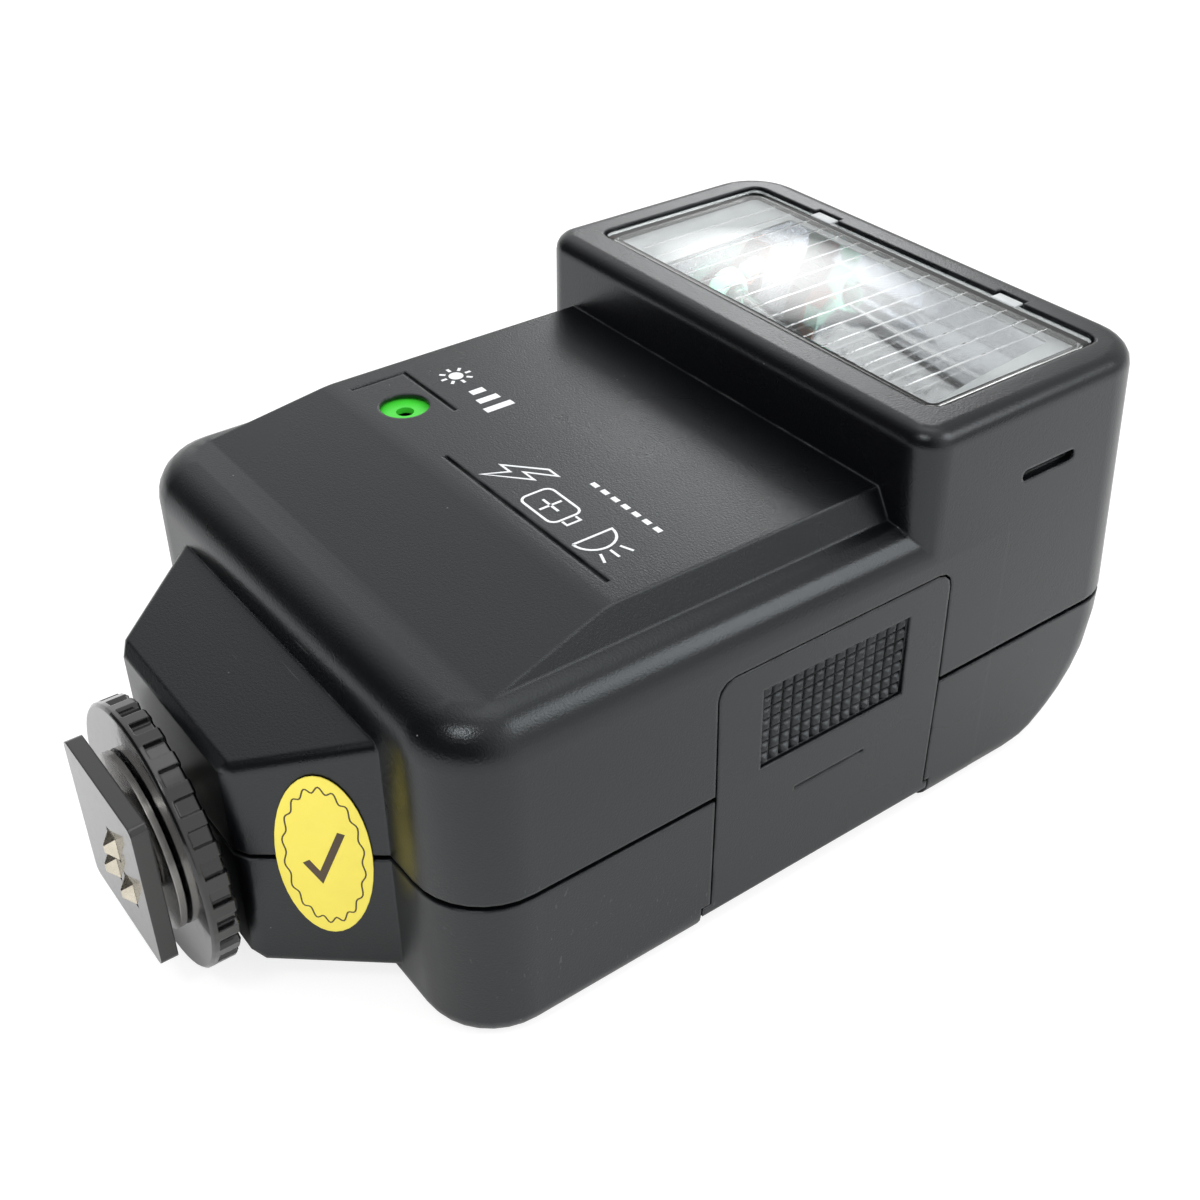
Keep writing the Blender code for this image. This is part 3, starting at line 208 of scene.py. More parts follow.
def moulded_plastic(name, colour, roughness, grain=1.0, wear_and_highlight=0.5, dust=0.5, edge=0.0005):
    material, tree, shader, place = new_material(name, colour, roughness)
    patches = noise(tree, place, 45.0, 4.0)
    tree.links.new(ramp(tree, patches, 0.2, 0.8, roughness - 0.03, roughness + 0.03),
                   shader.inputs["Roughness"])
    rounded = soft_edges(tree, edge)
    mottle = ramp(tree, noise(tree, place, 22.0), 0.3, 0.7, 0.0, 1.0)
    tint = mix_colour(tree, mottle, colour, tuple(c * 1.4 for c in colour))
    # Sharp edges painted pale grey in patches: partly rubbing wear, partly a painted highlight along
    # the edge.
    patchy = ramp(tree, noise(tree, place, 260.0), 0.42, 0.7, 0.0, wear_and_highlight)
    worn_and_highlit = mix_colour(tree, multiply(tree, edge_mask(tree, rounded), patchy), tint, (0.14, 0.145, 0.15))
    lined = mix_colour(tree, scratches(tree, place, 0.3), worn_and_highlit, (0.12, 0.12, 0.125))
    dusty = mix_colour(tree, specks(tree, place, 420.0, 0.03, dust), lined, (0.50, 0.50, 0.48))
    tree.links.new(dusty, shader.inputs["Base Color"])
    bump(tree, shader, noise(tree, place, 3800.0, 2.0, 0.6), 0.7 * grain, 0.00004, rounded)
    return material


satin_black = moulded_plastic("satin_black_abs", (0.0020, 0.0022, 0.0028), 0.28)
set_inputs(satin_black.node_tree.nodes["Principled BSDF"], Specular_IOR_Level=0.54,
           Specular_Tint=(0.90, 0.96, 1.0, 1.0))
dull_black = moulded_plastic("dull_black_plastic", (0.025, 0.025, 0.027), 0.55, dust=0.1)
grey_plastic = moulded_plastic("grey_plastic", (0.10, 0.105, 0.11), 0.45, dust=0.1)
print("plastics:", satin_black.name, dull_black.name, grey_plastic.name)

# %% [markdown]
# ## Polished black
# The foot and the lock ring are moulded in a polished tool: nearly a mirror, with
# faint ripples from shrinkage and hairline rubbing from the camera's rails. A clear
# coat over a dense black gives that wet look at grazing angles.

# %% Polished black
def polished_plastic(name, colour, roughness):
    material, tree, shader, place = new_material(name, colour, roughness)
    rub = noise(tree, place, 900.0, 5.0, 0.7)
    tree.links.new(ramp(tree, rub, 0.42, 0.78, roughness, roughness + 0.14), shader.inputs["Roughness"])
    set_inputs(shader, IOR=1.5, Coat_Weight=0.55, Coat_Roughness=0.04)
    dusty = mix_colour(tree, specks(tree, place, 520.0, 0.03, 0.4), colour, (0.4, 0.4, 0.39))
    tree.links.new(dusty, shader.inputs["Base Color"])
    bump(tree, shader, noise(tree, place, 160.0, 2.0), 0.10, 0.0001, soft_edges(tree, 0.0003))
    return material


gloss_black = polished_plastic("gloss_black", (0.003, 0.003, 0.0035), 0.10)
print("polished:", gloss_black.name)

# %% [markdown]
# ## Metals
# Plated springs and strips, zinc screws, a copper strip and the bright reflector sheet
# share one recipe: full metal, a roughness broken up by fine scratches, and a trace of
# colour variation where the plating dulls.

# %% Metals
def metal(name, colour, roughness, scratch=0.08, dull=0.8, edge=0.0001):
    material, tree, shader, place = new_material(name, colour, roughness)
    shader.inputs["Metallic"].default_value = 1.0
    fade = ramp(tree, noise(tree, place, 300.0, 4.0), 0.35, 0.7, 0.0, 1.0)
    tree.links.new(mix_colour(tree, fade, colour, tuple(c * dull for c in colour)),
                   shader.inputs["Base Color"])
    fine = noise(tree, place, 2600.0, 3.0, 0.7)
    tree.links.new(ramp(tree, fine, 0.3, 0.7, roughness, roughness + scratch),
                   shader.inputs["Roughness"])
    bump(tree, shader, fine, 0.04, 0.00001, soft_edges(tree, edge))
    return material


mirror_sheet = metal("mirror_sheet", (0.80, 0.81, 0.83), 0.05, 0.04, 0.95)
nickel = metal("warm_nickel", (0.74, 0.68, 0.56), 0.24)
dull_sheet = metal("dull_sheet", (0.34, 0.36, 0.38), 0.24, 0.1)
steel = metal("zinc_steel", (0.36, 0.35, 0.335), 0.16)
copper = metal("copper_strip", (0.62, 0.27, 0.15), 0.34)
print("metals ready")

# %% [markdown]
# ## Clear pieces
# The window is clear acrylic and the tube is glass. Both want transmission; the glass
# is clean, and the acrylic has the least haze from rubbing. Light does not reach easily
# through glass in a path tracer, so both let shadow rays pass straight through.

# %% Clear plastics and glass
def clear(name, colour, roughness, ior):
    material, tree, shader, place = new_material(name, colour, roughness)
    set_inputs(shader, Transmission_Weight=1.0, IOR=ior)
    haze = noise(tree, place, 500.0, 4.0)
    tree.links.new(ramp(tree, haze, 0.5, 0.8, roughness, roughness + 0.05), shader.inputs["Roughness"])
    bump(tree, shader, noise(tree, place, 120.0), 0.04, 0.00005)
    light = add_node(tree, "ShaderNodeLightPath")
    through = add_node(tree, "ShaderNodeBsdfTransparent")
    through.inputs["Color"].default_value = (0.94, 0.95, 0.95, 1.0)
    pick = add_node(tree, "ShaderNodeMixShader")
    tree.links.new(light.outputs["Is Shadow Ray"], pick.inputs["Fac"])
    tree.links.new(shader.outputs["BSDF"], pick.inputs[1])
    tree.links.new(through.outputs["BSDF"], pick.inputs[2])
    tree.links.new(pick.outputs["Shader"], tree.nodes["Material Output"].inputs["Surface"])
    return material


acrylic = clear("clear_acrylic", (0.97, 0.985, 0.98), 0.01, 1.49)
tube_glass = clear("tube_glass", (0.98, 0.985, 0.99), 0.0, 1.47)
print("clear:", acrylic.name, tube_glass.name)

# %% [markdown]
# ## Paint, label and soft colours
# The bright green aperture slide, the mint silicone boots, the yellow label, the board
# and the sleeved parts are plain moulded or printed colours. One recipe with a soft
# mottle and a little bump keeps each of them from looking like flat paint.

# %% Plain colours
def plain_colour(name, colour, roughness, mottle=0.12, glow=0.0):
    material, tree, shader, place = new_material(name, colour, roughness)
    lighter = tuple(min(1.0, c * (1 + mottle)) for c in colour)
    darker = tuple(c * (1 - mottle) for c in colour)
    spread = ramp(tree, noise(tree, place, 350.0, 4.0), 0.3, 0.7, 0.0, 1.0)
    tree.links.new(mix_colour(tree, spread, darker, lighter), shader.inputs["Base Color"])
    set_inputs(shader, Subsurface_Weight=glow, Subsurface_Scale=0.001)
    bump(tree, shader, noise(tree, place, 2400.0), 0.2, 0.00002, soft_edges(tree, 0.0001))
    return material


green_slide = plain_colour("green_slide", (0.05, 0.62, 0.035), 0.35, 0.05)
mint_rubber = plain_colour("mint_silicone", (0.38, 0.75, 0.60), 0.5, 0.08, 0.2)
label_yellow = plain_colour("label_yellow", (0.88, 0.75, 0.10), 0.42, 0.02)
label_brown = plain_colour("label_brown", (0.07, 0.045, 0.02), 0.5)
print_white = plain_colour("print_white", (0.80, 0.82, 0.84), 0.5, 0.06)
pale_satin = plain_colour("pale_satin", (0.50, 0.52, 0.53), 0.4, 0.05)
board_green = plain_colour("board_green", (0.03, 0.16, 0.08), 0.4)
amber_lens = plain_colour("amber_lens", (0.75, 0.28, 0.03), 0.15, 0.05, 0.3)
sleeve_blue = plain_colour("sleeve_blue", (0.03, 0.07, 0.22), 0.3)
wire_red = plain_colour("wire_red", (0.50, 0.03, 0.02), 0.4)
print("colours ready")

# %% [markdown]
# ## Dress the solids
# Every solid keeps its shape and takes a finish. The table says which finish each of
# the record's slots stands for, so a new solid of a known slot is dressed by itself.
# The solids arrive as loose flat facets: a weld joins them again, and splitting only the
# sharp corners lets the round stretches shade as round. Weighting the normals by area
# keeps the large flat faces flat beside their rounded corners.

# %% Dress the solids
FINISHES = {
    "satin_black": satin_black, "gloss_black": gloss_black, "clear_panel": acrylic,
    "tube_glass": tube_glass, "mirror": mirror_sheet, "nickel": nickel, "copper": copper,
    "steel": steel, "mint_silicone": mint_rubber, "green_slide": green_slide,
    "dark_plastic": dull_black, "board": board_green, "amber": amber_lens,
    "yellow_paper": label_yellow, "grey_print": grey_plastic, "blue_sleeve": sleeve_blue,
    "wire_red": wire_red,
}
SMOOTH_UP_TO = math.radians(32)


def smooth_solid(item):
    """Faces joined again along their edges, and shaded round except at sharp corners."""
    item.data.shade_smooth()
    weld = item.modifiers.new("weld", 'WELD')
    weld.merge_threshold = 0.000001
    split = item.modifiers.new("corners", 'EDGE_SPLIT')
    split.split_angle = SMOOTH_UP_TO
    split.use_edge_sharp = False
    item.modifiers.new("flat_faces", 'WEIGHTED_NORMAL').weight = 80


for entry in frame["record"]["subparts"]:
    item = nodes[entry["node"]]
    item.data.materials.clear()
    item.data.materials.append(FINISHES[entry["material_slot"]])
    smooth_solid(item)
print("dressed", len(nodes), "solids")

# One helper does this for any mesh, one cuts a piece by another, and the rest make prisms,
# boxes, tubes and outlines.

# %% Piece helpers
def corners(node):
    """Lowest and highest corner of a solid, in millimetres."""
    low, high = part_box(node)
    return Vector(low) / MM, Vector(high) / MM


def new_piece(name, bm, finish, body=None, round_up_to=32):
    """A closed piece from a bmesh in millimetres; without a body it is only a tool."""
    bmesh.ops.scale(bm, verts=bm.verts, vec=(MM, MM, MM))
    bmesh.ops.recalc_face_normals(bm, faces=bm.faces)
    mesh = bpy.data.meshes.new(name)
    bm.to_mesh(mesh)
    bm.free()
    piece = bpy.data.objects.new(name, mesh)
    scene.collection.objects.link(piece)
    mesh.materials.append(finish)
    mesh.shade_smooth()
    mesh.set_sharp_from_angle(angle=math.radians(round_up_to))
    if body:
        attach(piece, body)
    return piece


def boolean(piece, tool, operation):
    """One Boolean, applied at once; the tool is used up."""
    step = piece.modifiers.new("step", 'BOOLEAN')
    step.operation = operation
    step.object = tool
    step.solver = 'EXACT'
    bpy.context.view_layer.update()
    shaped = bpy.data.meshes.new_from_object(piece.evaluated_get(bpy.context.evaluated_depsgraph_get()))
    piece.modifiers.remove(step)
    old = piece.data
    piece.data = shaped
    bpy.data.meshes.remove(old)
    bpy.data.objects.remove(tool, do_unlink=True)
    shaped.shade_smooth()
    shaped.set_sharp_from_angle(angle=math.radians(32))
    return piece


def prism(outline, depth):
    """Closed prism: an outline of 3-D points pushed along a vector."""
    bm = bmesh.new()
    face = bm.faces.new([bm.verts.new(point) for point in outline])
    grown = bmesh.ops.extrude_face_region(bm, geom=[face])
    moved = [item for item in grown["geom"] if isinstance(item, bmesh.types.BMVert)]
    bmesh.ops.translate(bm, verts=moved, vec=depth)
    return bm


def block(low, high):
    """Closed box between two corners."""
    bm = bmesh.new()
    bmesh.ops.create_cube(bm, size=1.0)
    low, high = Vector(low), Vector(high)
    bmesh.ops.scale(bm, verts=bm.verts, vec=high - low)
    bmesh.ops.translate(bm, verts=bm.verts, vec=(low + high) / 2)
    return bm


def skin(bm, rings, closed=False):
    """Faces between neighbouring four-cornered rings, with end caps unless closed."""
    pairs = list(zip(rings, rings[1:]))
    if closed:
        pairs.append((rings[-1], rings[0]))
    for first, second in pairs:
        for j in range(4):
            k = (j + 1) % 4
            bm.faces.new((first[j], first[k], second[k], second[j]))
    if not closed:
        bm.faces.new(list(reversed(rings[0])))
        bm.faces.new(rings[-1])


def merged(*meshes):
    """Several closed bodies in one bmesh."""
    whole = bmesh.new()
    for part in meshes:
        carrier = bpy.data.meshes.new("carrier")
        part.to_mesh(carrier)
        part.free()
        whole.from_mesh(carrier)
        bpy.data.meshes.remove(carrier)
    return whole


def round_rectangle(low_x, low_y, high_x, high_y, radius, steps=8):
    """Outline of a rectangle with round corners, anticlockwise."""
    points = []
    for cx, cy, first in ((high_x - radius, low_y + radius, -90), (high_x - radius, high_y - radius, 0),
                          (low_x + radius, high_y - radius, 90), (low_x + radius, low_y + radius, 180)):
        for i in range(steps + 1):
            angle = math.radians(first + 90 * i / steps)
            points.append(Vector((cx + radius * math.cos(angle), cy + radius * math.sin(angle))))
    return points


SQUARE = ((-1, -1), (1, -1), (1, 1), (-1, 1))
print("piece helpers ready")

# %% [markdown]
# ## The window
# The window is a clear acrylic plate. Its outer face is flat with a small bevel, and
# its inner face is cut back inside a raised border, leaving fine ribs that run from the
# near edge to the far one. A toothed block trimmed to the border's outline is taken out
# of the plate, so the ribs are part of the plate and light bends in them properly.

# %% The window
WINDOW_FLANGE = 1.9       # the solid's hidden flange, with its gap
PLATE_THICK = 2.0
RIBBED_THICK = 1.0
STEP_IN = 1.5
RIB_PITCH = 3.1
RIB_HALF = 0.16
RIB_DEPTH = 0.10
RIB_MARGIN = 6.5
PLATE_CORNER = 1.7
RIM_BEVEL = 0.35
LUG_PLACES = (-16.5, 16.5)


def ribbed_window():
    """The plate, with its inner face cut back to a border and fine ribs."""
    low, high = corners("window_panel")
    low_x, high_x = low.x + WINDOW_FLANGE, high.x - WINDOW_FLANGE
    low_y, high_y = low.y + WINDOW_FLANGE, high.y - WINDOW_FLANGE
    top = high.z
    under = top - PLATE_THICK
    outline = round_rectangle(low_x, low_y, high_x, high_y, PLATE_CORNER)
    plate = prism([(p.x, p.y, under) for p in outline], (0, 0, PLATE_THICK))
    rim = [edge for edge in plate.edges if all(v.co.z > top - 0.01 for v in edge.verts)]
    bmesh.ops.bevel(plate, geom=rim, offset=RIM_BEVEL, segments=3, profile=0.5, affect='EDGES')
    window = new_piece("ribbed_window", plate, acrylic, "shell")
    roof = top - RIBBED_THICK
    profile = [(low_x - 1, under - 2), (low_x - 1, roof)]
    count = int((high_x - low_x - 2 * RIB_MARGIN) / RIB_PITCH)
    for i in range(count + 1):
        x = low_x + RIB_MARGIN + (high_x - low_x - 2 * RIB_MARGIN) * i / count
        profile += [(x - RIB_HALF, roof), (x, roof - RIB_DEPTH), (x + RIB_HALF, roof)]
    profile += [(high_x + 1, roof), (high_x + 1, under - 2)]
    teeth = new_piece("teeth", prism([(x, low_y - 1, z) for x, z in profile],
                                     (0, high_y - low_y + 2, 0)), acrylic)
    inner = round_rectangle(low_x + STEP_IN, low_y + STEP_IN,
                            high_x - STEP_IN, high_y - STEP_IN, 1.0)
    pocket = new_piece("pocket", prism([(p.x, p.y, under - 1.5) for p in inner], (0, 0, 4)), acrylic)
    boolean(pocket, teeth, 'INTERSECT')
    boolean(window, pocket, 'DIFFERENCE')
    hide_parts("window_panel")
    return window


window = ribbed_window()
print("window faces:", len(window.data.polygons))


def window_lugs():
    """The two small pale tabs that hold the window at the far rim."""
    low, high = corners("window_panel")
    far = high.y - WINDOW_FLANGE
    tabs = []
    for x in LUG_PLACES:
        tab = block((x - 1.9, far - 0.9, high.z - 0.25), (x + 1.9, far + 0.8, high.z + 0.12))
        bmesh.ops.bevel(tab, geom=list(tab.edges), offset=0.12, segments=2, profile=0.5, affect='EDGES')
        tabs.append(tab)
    return new_piece("window_lugs", merged(*tabs), pale_satin, "shell")


print("lugs:", window_lugs().name)

# %% [markdown]
# ## The reflector
# Behind the window a trough of bright sheet throws the tube's light forward. Sheet this
# thin never lies quite true, and its small ripples break every reflection into streaks.
# The trough is a grid of points on a steep-sided curve; the ends are flat walls, with
# a cut-out on the left where the boot, the tube and the trigger strip come through.
# A flat lip joins the mouth of the trough to the border of the window.

# %% The reflector
SHEET = 0.35
RIPPLE = 0.035
LEFT_INSET = 4.0          # how far the end walls stand inside the solid's ends
RIGHT_INSET = 2.0
TROUGH_LIP = 0.8
TROUGH_ACROSS = 28
TROUGH_ALONG = 72
TUBE_HOLE = 2.6
CUT_OUT = [(-2.7, -2.6), (7.6, -1.6), (8.2, 3.2), (4.4, 5.4), (2.0, 2.6), (-2.7, 2.6)]


def trough_point(low, high, t, x, grow):
    """A point across the trough: t from -1 at the near lip to 1 at the far one."""
    middle = (low.y + high.y) / 2
    reach = (high.y - low.y) / 2 - TROUGH_LIP + grow
    depth = high.z - low.z - TROUGH_LIP + grow
    angle = t * math.pi / 2
    y = middle + reach * math.copysign(abs(math.sin(angle)) ** 0.85, t)
    wave = RIPPLE * math.sin(x * 1.9 + 2.0 * math.sin(3 * t)) * (1 - abs(t))
    return Vector((x, y, high.z - depth * math.cos(angle) ** 0.62 + wave))


def trough_line(low, high, x, grow):
    return [trough_point(low, high, -1 + 2 * j / TROUGH_ACROSS, x, grow)
            for j in range(TROUGH_ACROSS + 1)]


def reflector_trough():
    """Two skins a sheet apart, joined round their edges."""
    low, high = corners("reflector")
    span = high.x - low.x - LEFT_INSET - RIGHT_INSET
    bm = bmesh.new()
    skins = []
    for grow in (0.0, SHEET):
        rows = []
        for i in range(TROUGH_ALONG + 1):
            x = low.x + LEFT_INSET + span * i / TROUGH_ALONG
            rows.append([bm.verts.new(point) for point in trough_line(low, high, x, grow)])
        for first, second in zip(rows, rows[1:]):
            for j in range(TROUGH_ACROSS):
                bm.faces.new((first[j], first[j + 1], second[j + 1], second[j]))
        skins.append(rows)
    inner, outer = skins
    for j in range(TROUGH_ACROSS):
        for i in (0, TROUGH_ALONG):
            bm.faces.new((inner[i][j], inner[i][j + 1], outer[i][j + 1], outer[i][j]))
    for i in range(TROUGH_ALONG):
        for j in (0, TROUGH_ACROSS):
            bm.faces.new((inner[i][j], inner[i + 1][j], outer[i + 1][j], outer[i][j]))
    return new_piece("reflector_trough", bm, mirror_sheet, "shell", 60)


def reflector_end(side, name):
    """Flat end wall, cut out round the tube and, on the left, for the trigger strip."""
    low, high = corners("reflector")
    x = high.x - RIGHT_INSET if side > 0 else low.x + LEFT_INSET
    outline = trough_line(low, high, 0.0, SHEET)
    wall = prism([(x - SHEET / 2, p.y, p.z) for p in outline], (SHEET, 0, 0))
    finish = mirror_sheet if side > 0 else dull_sheet
    end = new_piece(name, wall, finish, "shell")
    tube_low, tube_high = corners("flash_tube")
    tube = (tube_low + tube_high) / 2
    if side > 0:
        hole = bmesh.new()
        along_x = Matrix.Translation((x, tube.y, tube.z)) @ Matrix.Rotation(math.pi / 2, 4, 'Y')
        bmesh.ops.create_cone(hole, cap_ends=True, segments=32, radius1=TUBE_HOLE,
                              radius2=TUBE_HOLE, depth=4, matrix=along_x)
    else:
        hole = prism([(x - 2, tube.y + y, tube.z + z) for y, z in CUT_OUT], (4, 0, 0))
    return boolean(end, new_piece("hole", hole, mirror_sheet), 'DIFFERENCE')


def reflector_lip():
    """The satin flange of the trough, seen round its mouth through the window."""
    low, high = corners("reflector")
    glass_low, glass_high = corners("window_panel")
    edge = WINDOW_FLANGE - 0.3
    outer = round_rectangle(glass_low.x + edge, glass_low.y + edge,
                            glass_high.x - edge, glass_high.y - edge, 2.0)
    mouth = round_rectangle(low.x + LEFT_INSET, low.y + TROUGH_LIP,
                            high.x - RIGHT_INSET, high.y - TROUGH_LIP, 0.6)
    flange = prism([(p.x, p.y, high.z + 0.04) for p in outer], (0, 0, 0.22))
    lip = new_piece("reflector_lip", flange, pale_satin, "shell")
    hole = prism([(p.x, p.y, high.z - 1) for p in mouth], (0, 0, 3))
    return boolean(lip, new_piece("hole", hole, pale_satin), 'DIFFERENCE')


trough = reflector_trough()
reflector_lip()
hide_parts("reflector")
for side, name in ((-1, "reflector_end_left"), (1, "reflector_end_right")):
    reflector_end(side, name)
print("trough faces:", len(trough.data.polygons))

# %% [markdown]
# ## Flash tube
# A xenon tube is a thin-walled glass rod with a metal electrode sealed in each end. The
# glass could be a solid rod, but only a hollow one shows the bright double line of
# its wall. A profile of radii and distances, spun round an axis, makes it.

# %% Flash tube
def turned(name, profile, start, finish, body, axis='X', steps=40):
    """Closed turned piece: (radius, distance) pairs round an axis, a rod or a ring."""
    bm = bmesh.new()
    verts = [bm.verts.new((along, radius, 0)) for radius, along in profile]
    edges = [bm.edges.new(pair) for pair in zip(verts, verts[1:])]
    if profile[0][0] > 0:
        edges.append(bm.edges.new((verts[-1], verts[0])))
    bmesh.ops.spin(bm, geom=verts + edges, cent=(0, 0, 0), axis=(1, 0, 0), angle=2 * math.pi,
                   steps=steps, use_merge=True)
    bmesh.ops.remove_doubles(bm, verts=bm.verts, dist=0.001)
    if axis == 'Y':
        bmesh.ops.rotate(bm, verts=bm.verts, matrix=Matrix.Rotation(math.pi / 2, 3, 'Z'))
    if axis == 'Z':
        bmesh.ops.rotate(bm, verts=bm.verts, matrix=Matrix.Rotation(-math.pi / 2, 3, 'Y'))
    bmesh.ops.translate(bm, verts=bm.verts, vec=start)
    return new_piece(name, bm, finish, body)


GLASS_WALL = 0.45
ELECTRODE = [(0, 0), (0.55, 0), (0.55, 5.2), (1.0, 5.4), (1.0, 7.6), (0.7, 8.0), (0, 8.0)]
tube_low, tube_high = corners("flash_tube")
tube_y = (tube_low.y + tube_high.y) / 2
tube_z = (tube_low.z + tube_high.z) / 2
length = tube_high.x - tube_low.x
glass_radius = (tube_high.z - tube_low.z) / 2
bore = glass_radius - GLASS_WALL
wall_profile = [(glass_radius, 0), (glass_radius, length), (bore, length), (bore, 0)]
glass = turned("glass_tube", wall_profile, (tube_low.x, tube_y, tube_z), tube_glass,
               "shell")
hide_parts("flash_tube")
for side, name in ((-1, "electrode_left"), (1, "electrode_right")):
    outer = tube_low.x if side < 0 else tube_high.x
    profile = [(radius, -side * along) for radius, along in ELECTRODE]
    turned(name, profile, (outer, tube_y, tube_z), steel, "shell", steps=20)
print("glass wall", GLASS_WALL, "mm, tube", round(length, 1), "mm long")

# %% [markdown]
# ## Boot and trigger strip
# At the left end a mint silicone boot shows inside the reflector, beside a copper strip
# that touches the glass to trigger it. The boot's collar is turned. The strip and the
# boot's flap are bent sheets, so each is a ribbon: a line of points given a width and
# a thickness.

# %% Boot and trigger strip
def ribbon(points, across, thick):
    """Closed strip along a line of points, as wide as the vector across."""
    bm = bmesh.new()
    points = [Vector(p) for p in points]
    across = Vector(across)
    rings = []
    for i, point in enumerate(points):
        run = points[min(i + 1, len(points) - 1)] - points[max(i - 1, 0)]
        up = run.cross(across).normalized() * thick / 2
        half = across / 2
        rings.append([bm.verts.new(point + s * half + t * up) for s, t in SQUARE])
    skin(bm, rings)
    return bm


STRIP_BENDS = [(-1.6, 3.2, 4.6), (0, 3.0, 4.8), (0.7, 2.0, 3.4), (0.8, -0.6, 1.9), (0.7, -2.4, 2.8)]
COLLAR = [(2.2, 0), (2.9, 0), (3.1, 0.4), (2.9, 2.0), (2.6, 2.6), (2.2, 2.6)]
FLAP_BENDS = [(6.2, 2.6, 2.2), (6.6, 4.6, 2.8), (6.8, 6.2, 2.0)]
clip_low, clip_high = corners("trigger_clip")
strip_x = clip_high.x + 5.4
strip_line = [(strip_x + x, clip_low.y + y, clip_low.z + z) for x, y, z in STRIP_BENDS]
strip = ribbon(strip_line, (1.9, 0, 0.7), 0.25)
new_piece("trigger_strip", strip, copper, "shell")
turned("boot_collar", COLLAR, (clip_high.x + 5.0, tube_y, tube_z), mint_rubber, "shell",
       steps=28)
flap_line = [(clip_high.x + x, tube_y + y, tube_z + z) for x, y, z in FLAP_BENDS]
flap = ribbon(flap_line, (2.0, 0, 0), 0.8)
new_piece("boot_flap", flap, mint_rubber, "shell")
print("boot and strip in place")

# %% [markdown]
# ## Grip on the door
# Fingers pull the battery door by a patch of small pyramids, fourteen by seven. A bump
# would look flat at a low angle, and an array of objects would be heavy, so one loop
# builds every pyramid in a single mesh. Their blunt tips follow the slightly leaning wall.

# %% Grip on the door
GRIP_COLUMNS = 14
GRIP_ROWS = 7
GRIP_LENGTH = 22.0
GRIP_ROW_PITCH = 1.58
GRIP_HEIGHT = 24.4        # of its middle row over the door's lower edge
LEAN_START = 17.9         # where the wall begins to lean in
WALL_LEAN = 0.023
BASE_HALF = 0.72
TIP_HALF = 0.13

door_low, door_high = corners("battery_door")
grip_middle = (door_low.y + door_high.y) / 2 + 0.25
grip_pitch = GRIP_LENGTH / GRIP_COLUMNS
grip_floor = door_high.x - 0.78
bm = bmesh.new()
for row in range(GRIP_ROWS):
    for column in range(GRIP_COLUMNS):
        y = grip_middle + (column - (GRIP_COLUMNS - 1) / 2) * grip_pitch
        z = door_low.z + GRIP_HEIGHT + (row - (GRIP_ROWS - 1) / 2) * GRIP_ROW_PITCH
        tip = door_high.x - WALL_LEAN * (z - door_low.z - LEAN_START) - 0.06
        levels = ((grip_floor, BASE_HALF), (grip_floor + 0.08, BASE_HALF), (tip, TIP_HALF))
        skin(bm, [[bm.verts.new((x, y + s * half, z + t * half)) for s, t in SQUARE]
                  for x, half in levels])
new_piece("door_grip", bm, satin_black, "door")
print("pyramids:", GRIP_COLUMNS * GRIP_ROWS)

# %% [markdown]
# ## Threaded stem
# The foot hangs on a stem that is threaded for the lock ring. At this size a helix and a
# stack of grooves look the same, and the grooves turn in one go.

# %% Threaded stem
THREAD_PITCH = 0.8
THREAD_LENGTH = 6.4
THREAD_TOP = 5.8
THREAD_ROOT = 5.4
FLANGE_RADIUS = 9.0
FLANGE_THICK = 2.0
stem_low, stem_high = corners("foot_stem")
stem_middle = (stem_low + stem_high) / 2
shank = stem_high.y - stem_low.y - FLANGE_THICK
profile = [(0, 0.0), (5.5, 0.0)]
turn_count = int(THREAD_LENGTH / THREAD_PITCH)
for i in range(turn_count):
    start = 0.2 + i * THREAD_PITCH
    profile += [(THREAD_TOP, start), (THREAD_TOP, start + 0.25),
                (THREAD_ROOT, start + 0.5), (THREAD_ROOT, start + 0.6)]
profile += [(THREAD_TOP, shank), (FLANGE_RADIUS, shank),
            (FLANGE_RADIUS, shank + FLANGE_THICK), (0, shank + FLANGE_THICK)]
stem = turned("threaded_stem", profile, (stem_middle.x, stem_low.y, stem_middle.z), steel,
              "shell", 'Y')
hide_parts("foot_stem")
print("thread turns:", turn_count)

# %% [markdown]
# ## Screws
# The four shell screws have pan heads with a cross recess. Each head is turned and then
# cut by a cross-shaped block, turned differently for each screw as a driver leaves it.

# %% Screws
SCREW_COUNT = 4
SCREW_TURNS = 11
SCREW_PITCH = 0.9
SCREW_TOP = 1.05
SCREW_ROOT = 0.8
HEAD = [(0, 0), (1.3, 0.0), (2.1, 0.45), (2.3, 1.0), (2.3, 2.1), (SCREW_TOP, 2.1)]
CROSS = [(1.35, -0.3), (1.35, 0.3), (0.3, 0.3), (0.3, 1.35), (-0.3, 1.35), (-0.3, 0.3),
         (-1.35, 0.3), (-1.35, -0.3), (-0.3, -0.3), (-0.3, -1.35), (0.3, -1.35), (0.3, -0.3)]
for number in range(1, SCREW_COUNT + 1):
    node = f"shell_screw_{number}"
    low, high = corners(node)
    middle = (low + high) / 2
    tall = high.z - low.z
    profile = list(HEAD)
    for i in range(SCREW_TURNS):
        start = 2.4 + i * SCREW_PITCH
        profile += [(SCREW_TOP, start), (SCREW_TOP, start + 0.2),
                    (SCREW_ROOT, start + 0.45), (SCREW_ROOT, start + 0.6)]
    profile += [(0.3, tall), (0, tall)]
    screw = turned(f"cross_screw_{number}", profile, (middle.x, middle.y, low.z), steel,
                   "shell", 'Z', 24)
    turned_by = Matrix.Rotation(math.radians(25 + 37 * number), 2)
    cross = [middle.xy + turned_by @ Vector(p) for p in CROSS]
    recess = prism([(p.x, p.y, low.z - 1) for p in cross], (0, 0, 2.1))
    boolean(screw, new_piece("recess", recess, steel), 'DIFFERENCE')
    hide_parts(node)
print("screws:", SCREW_COUNT)

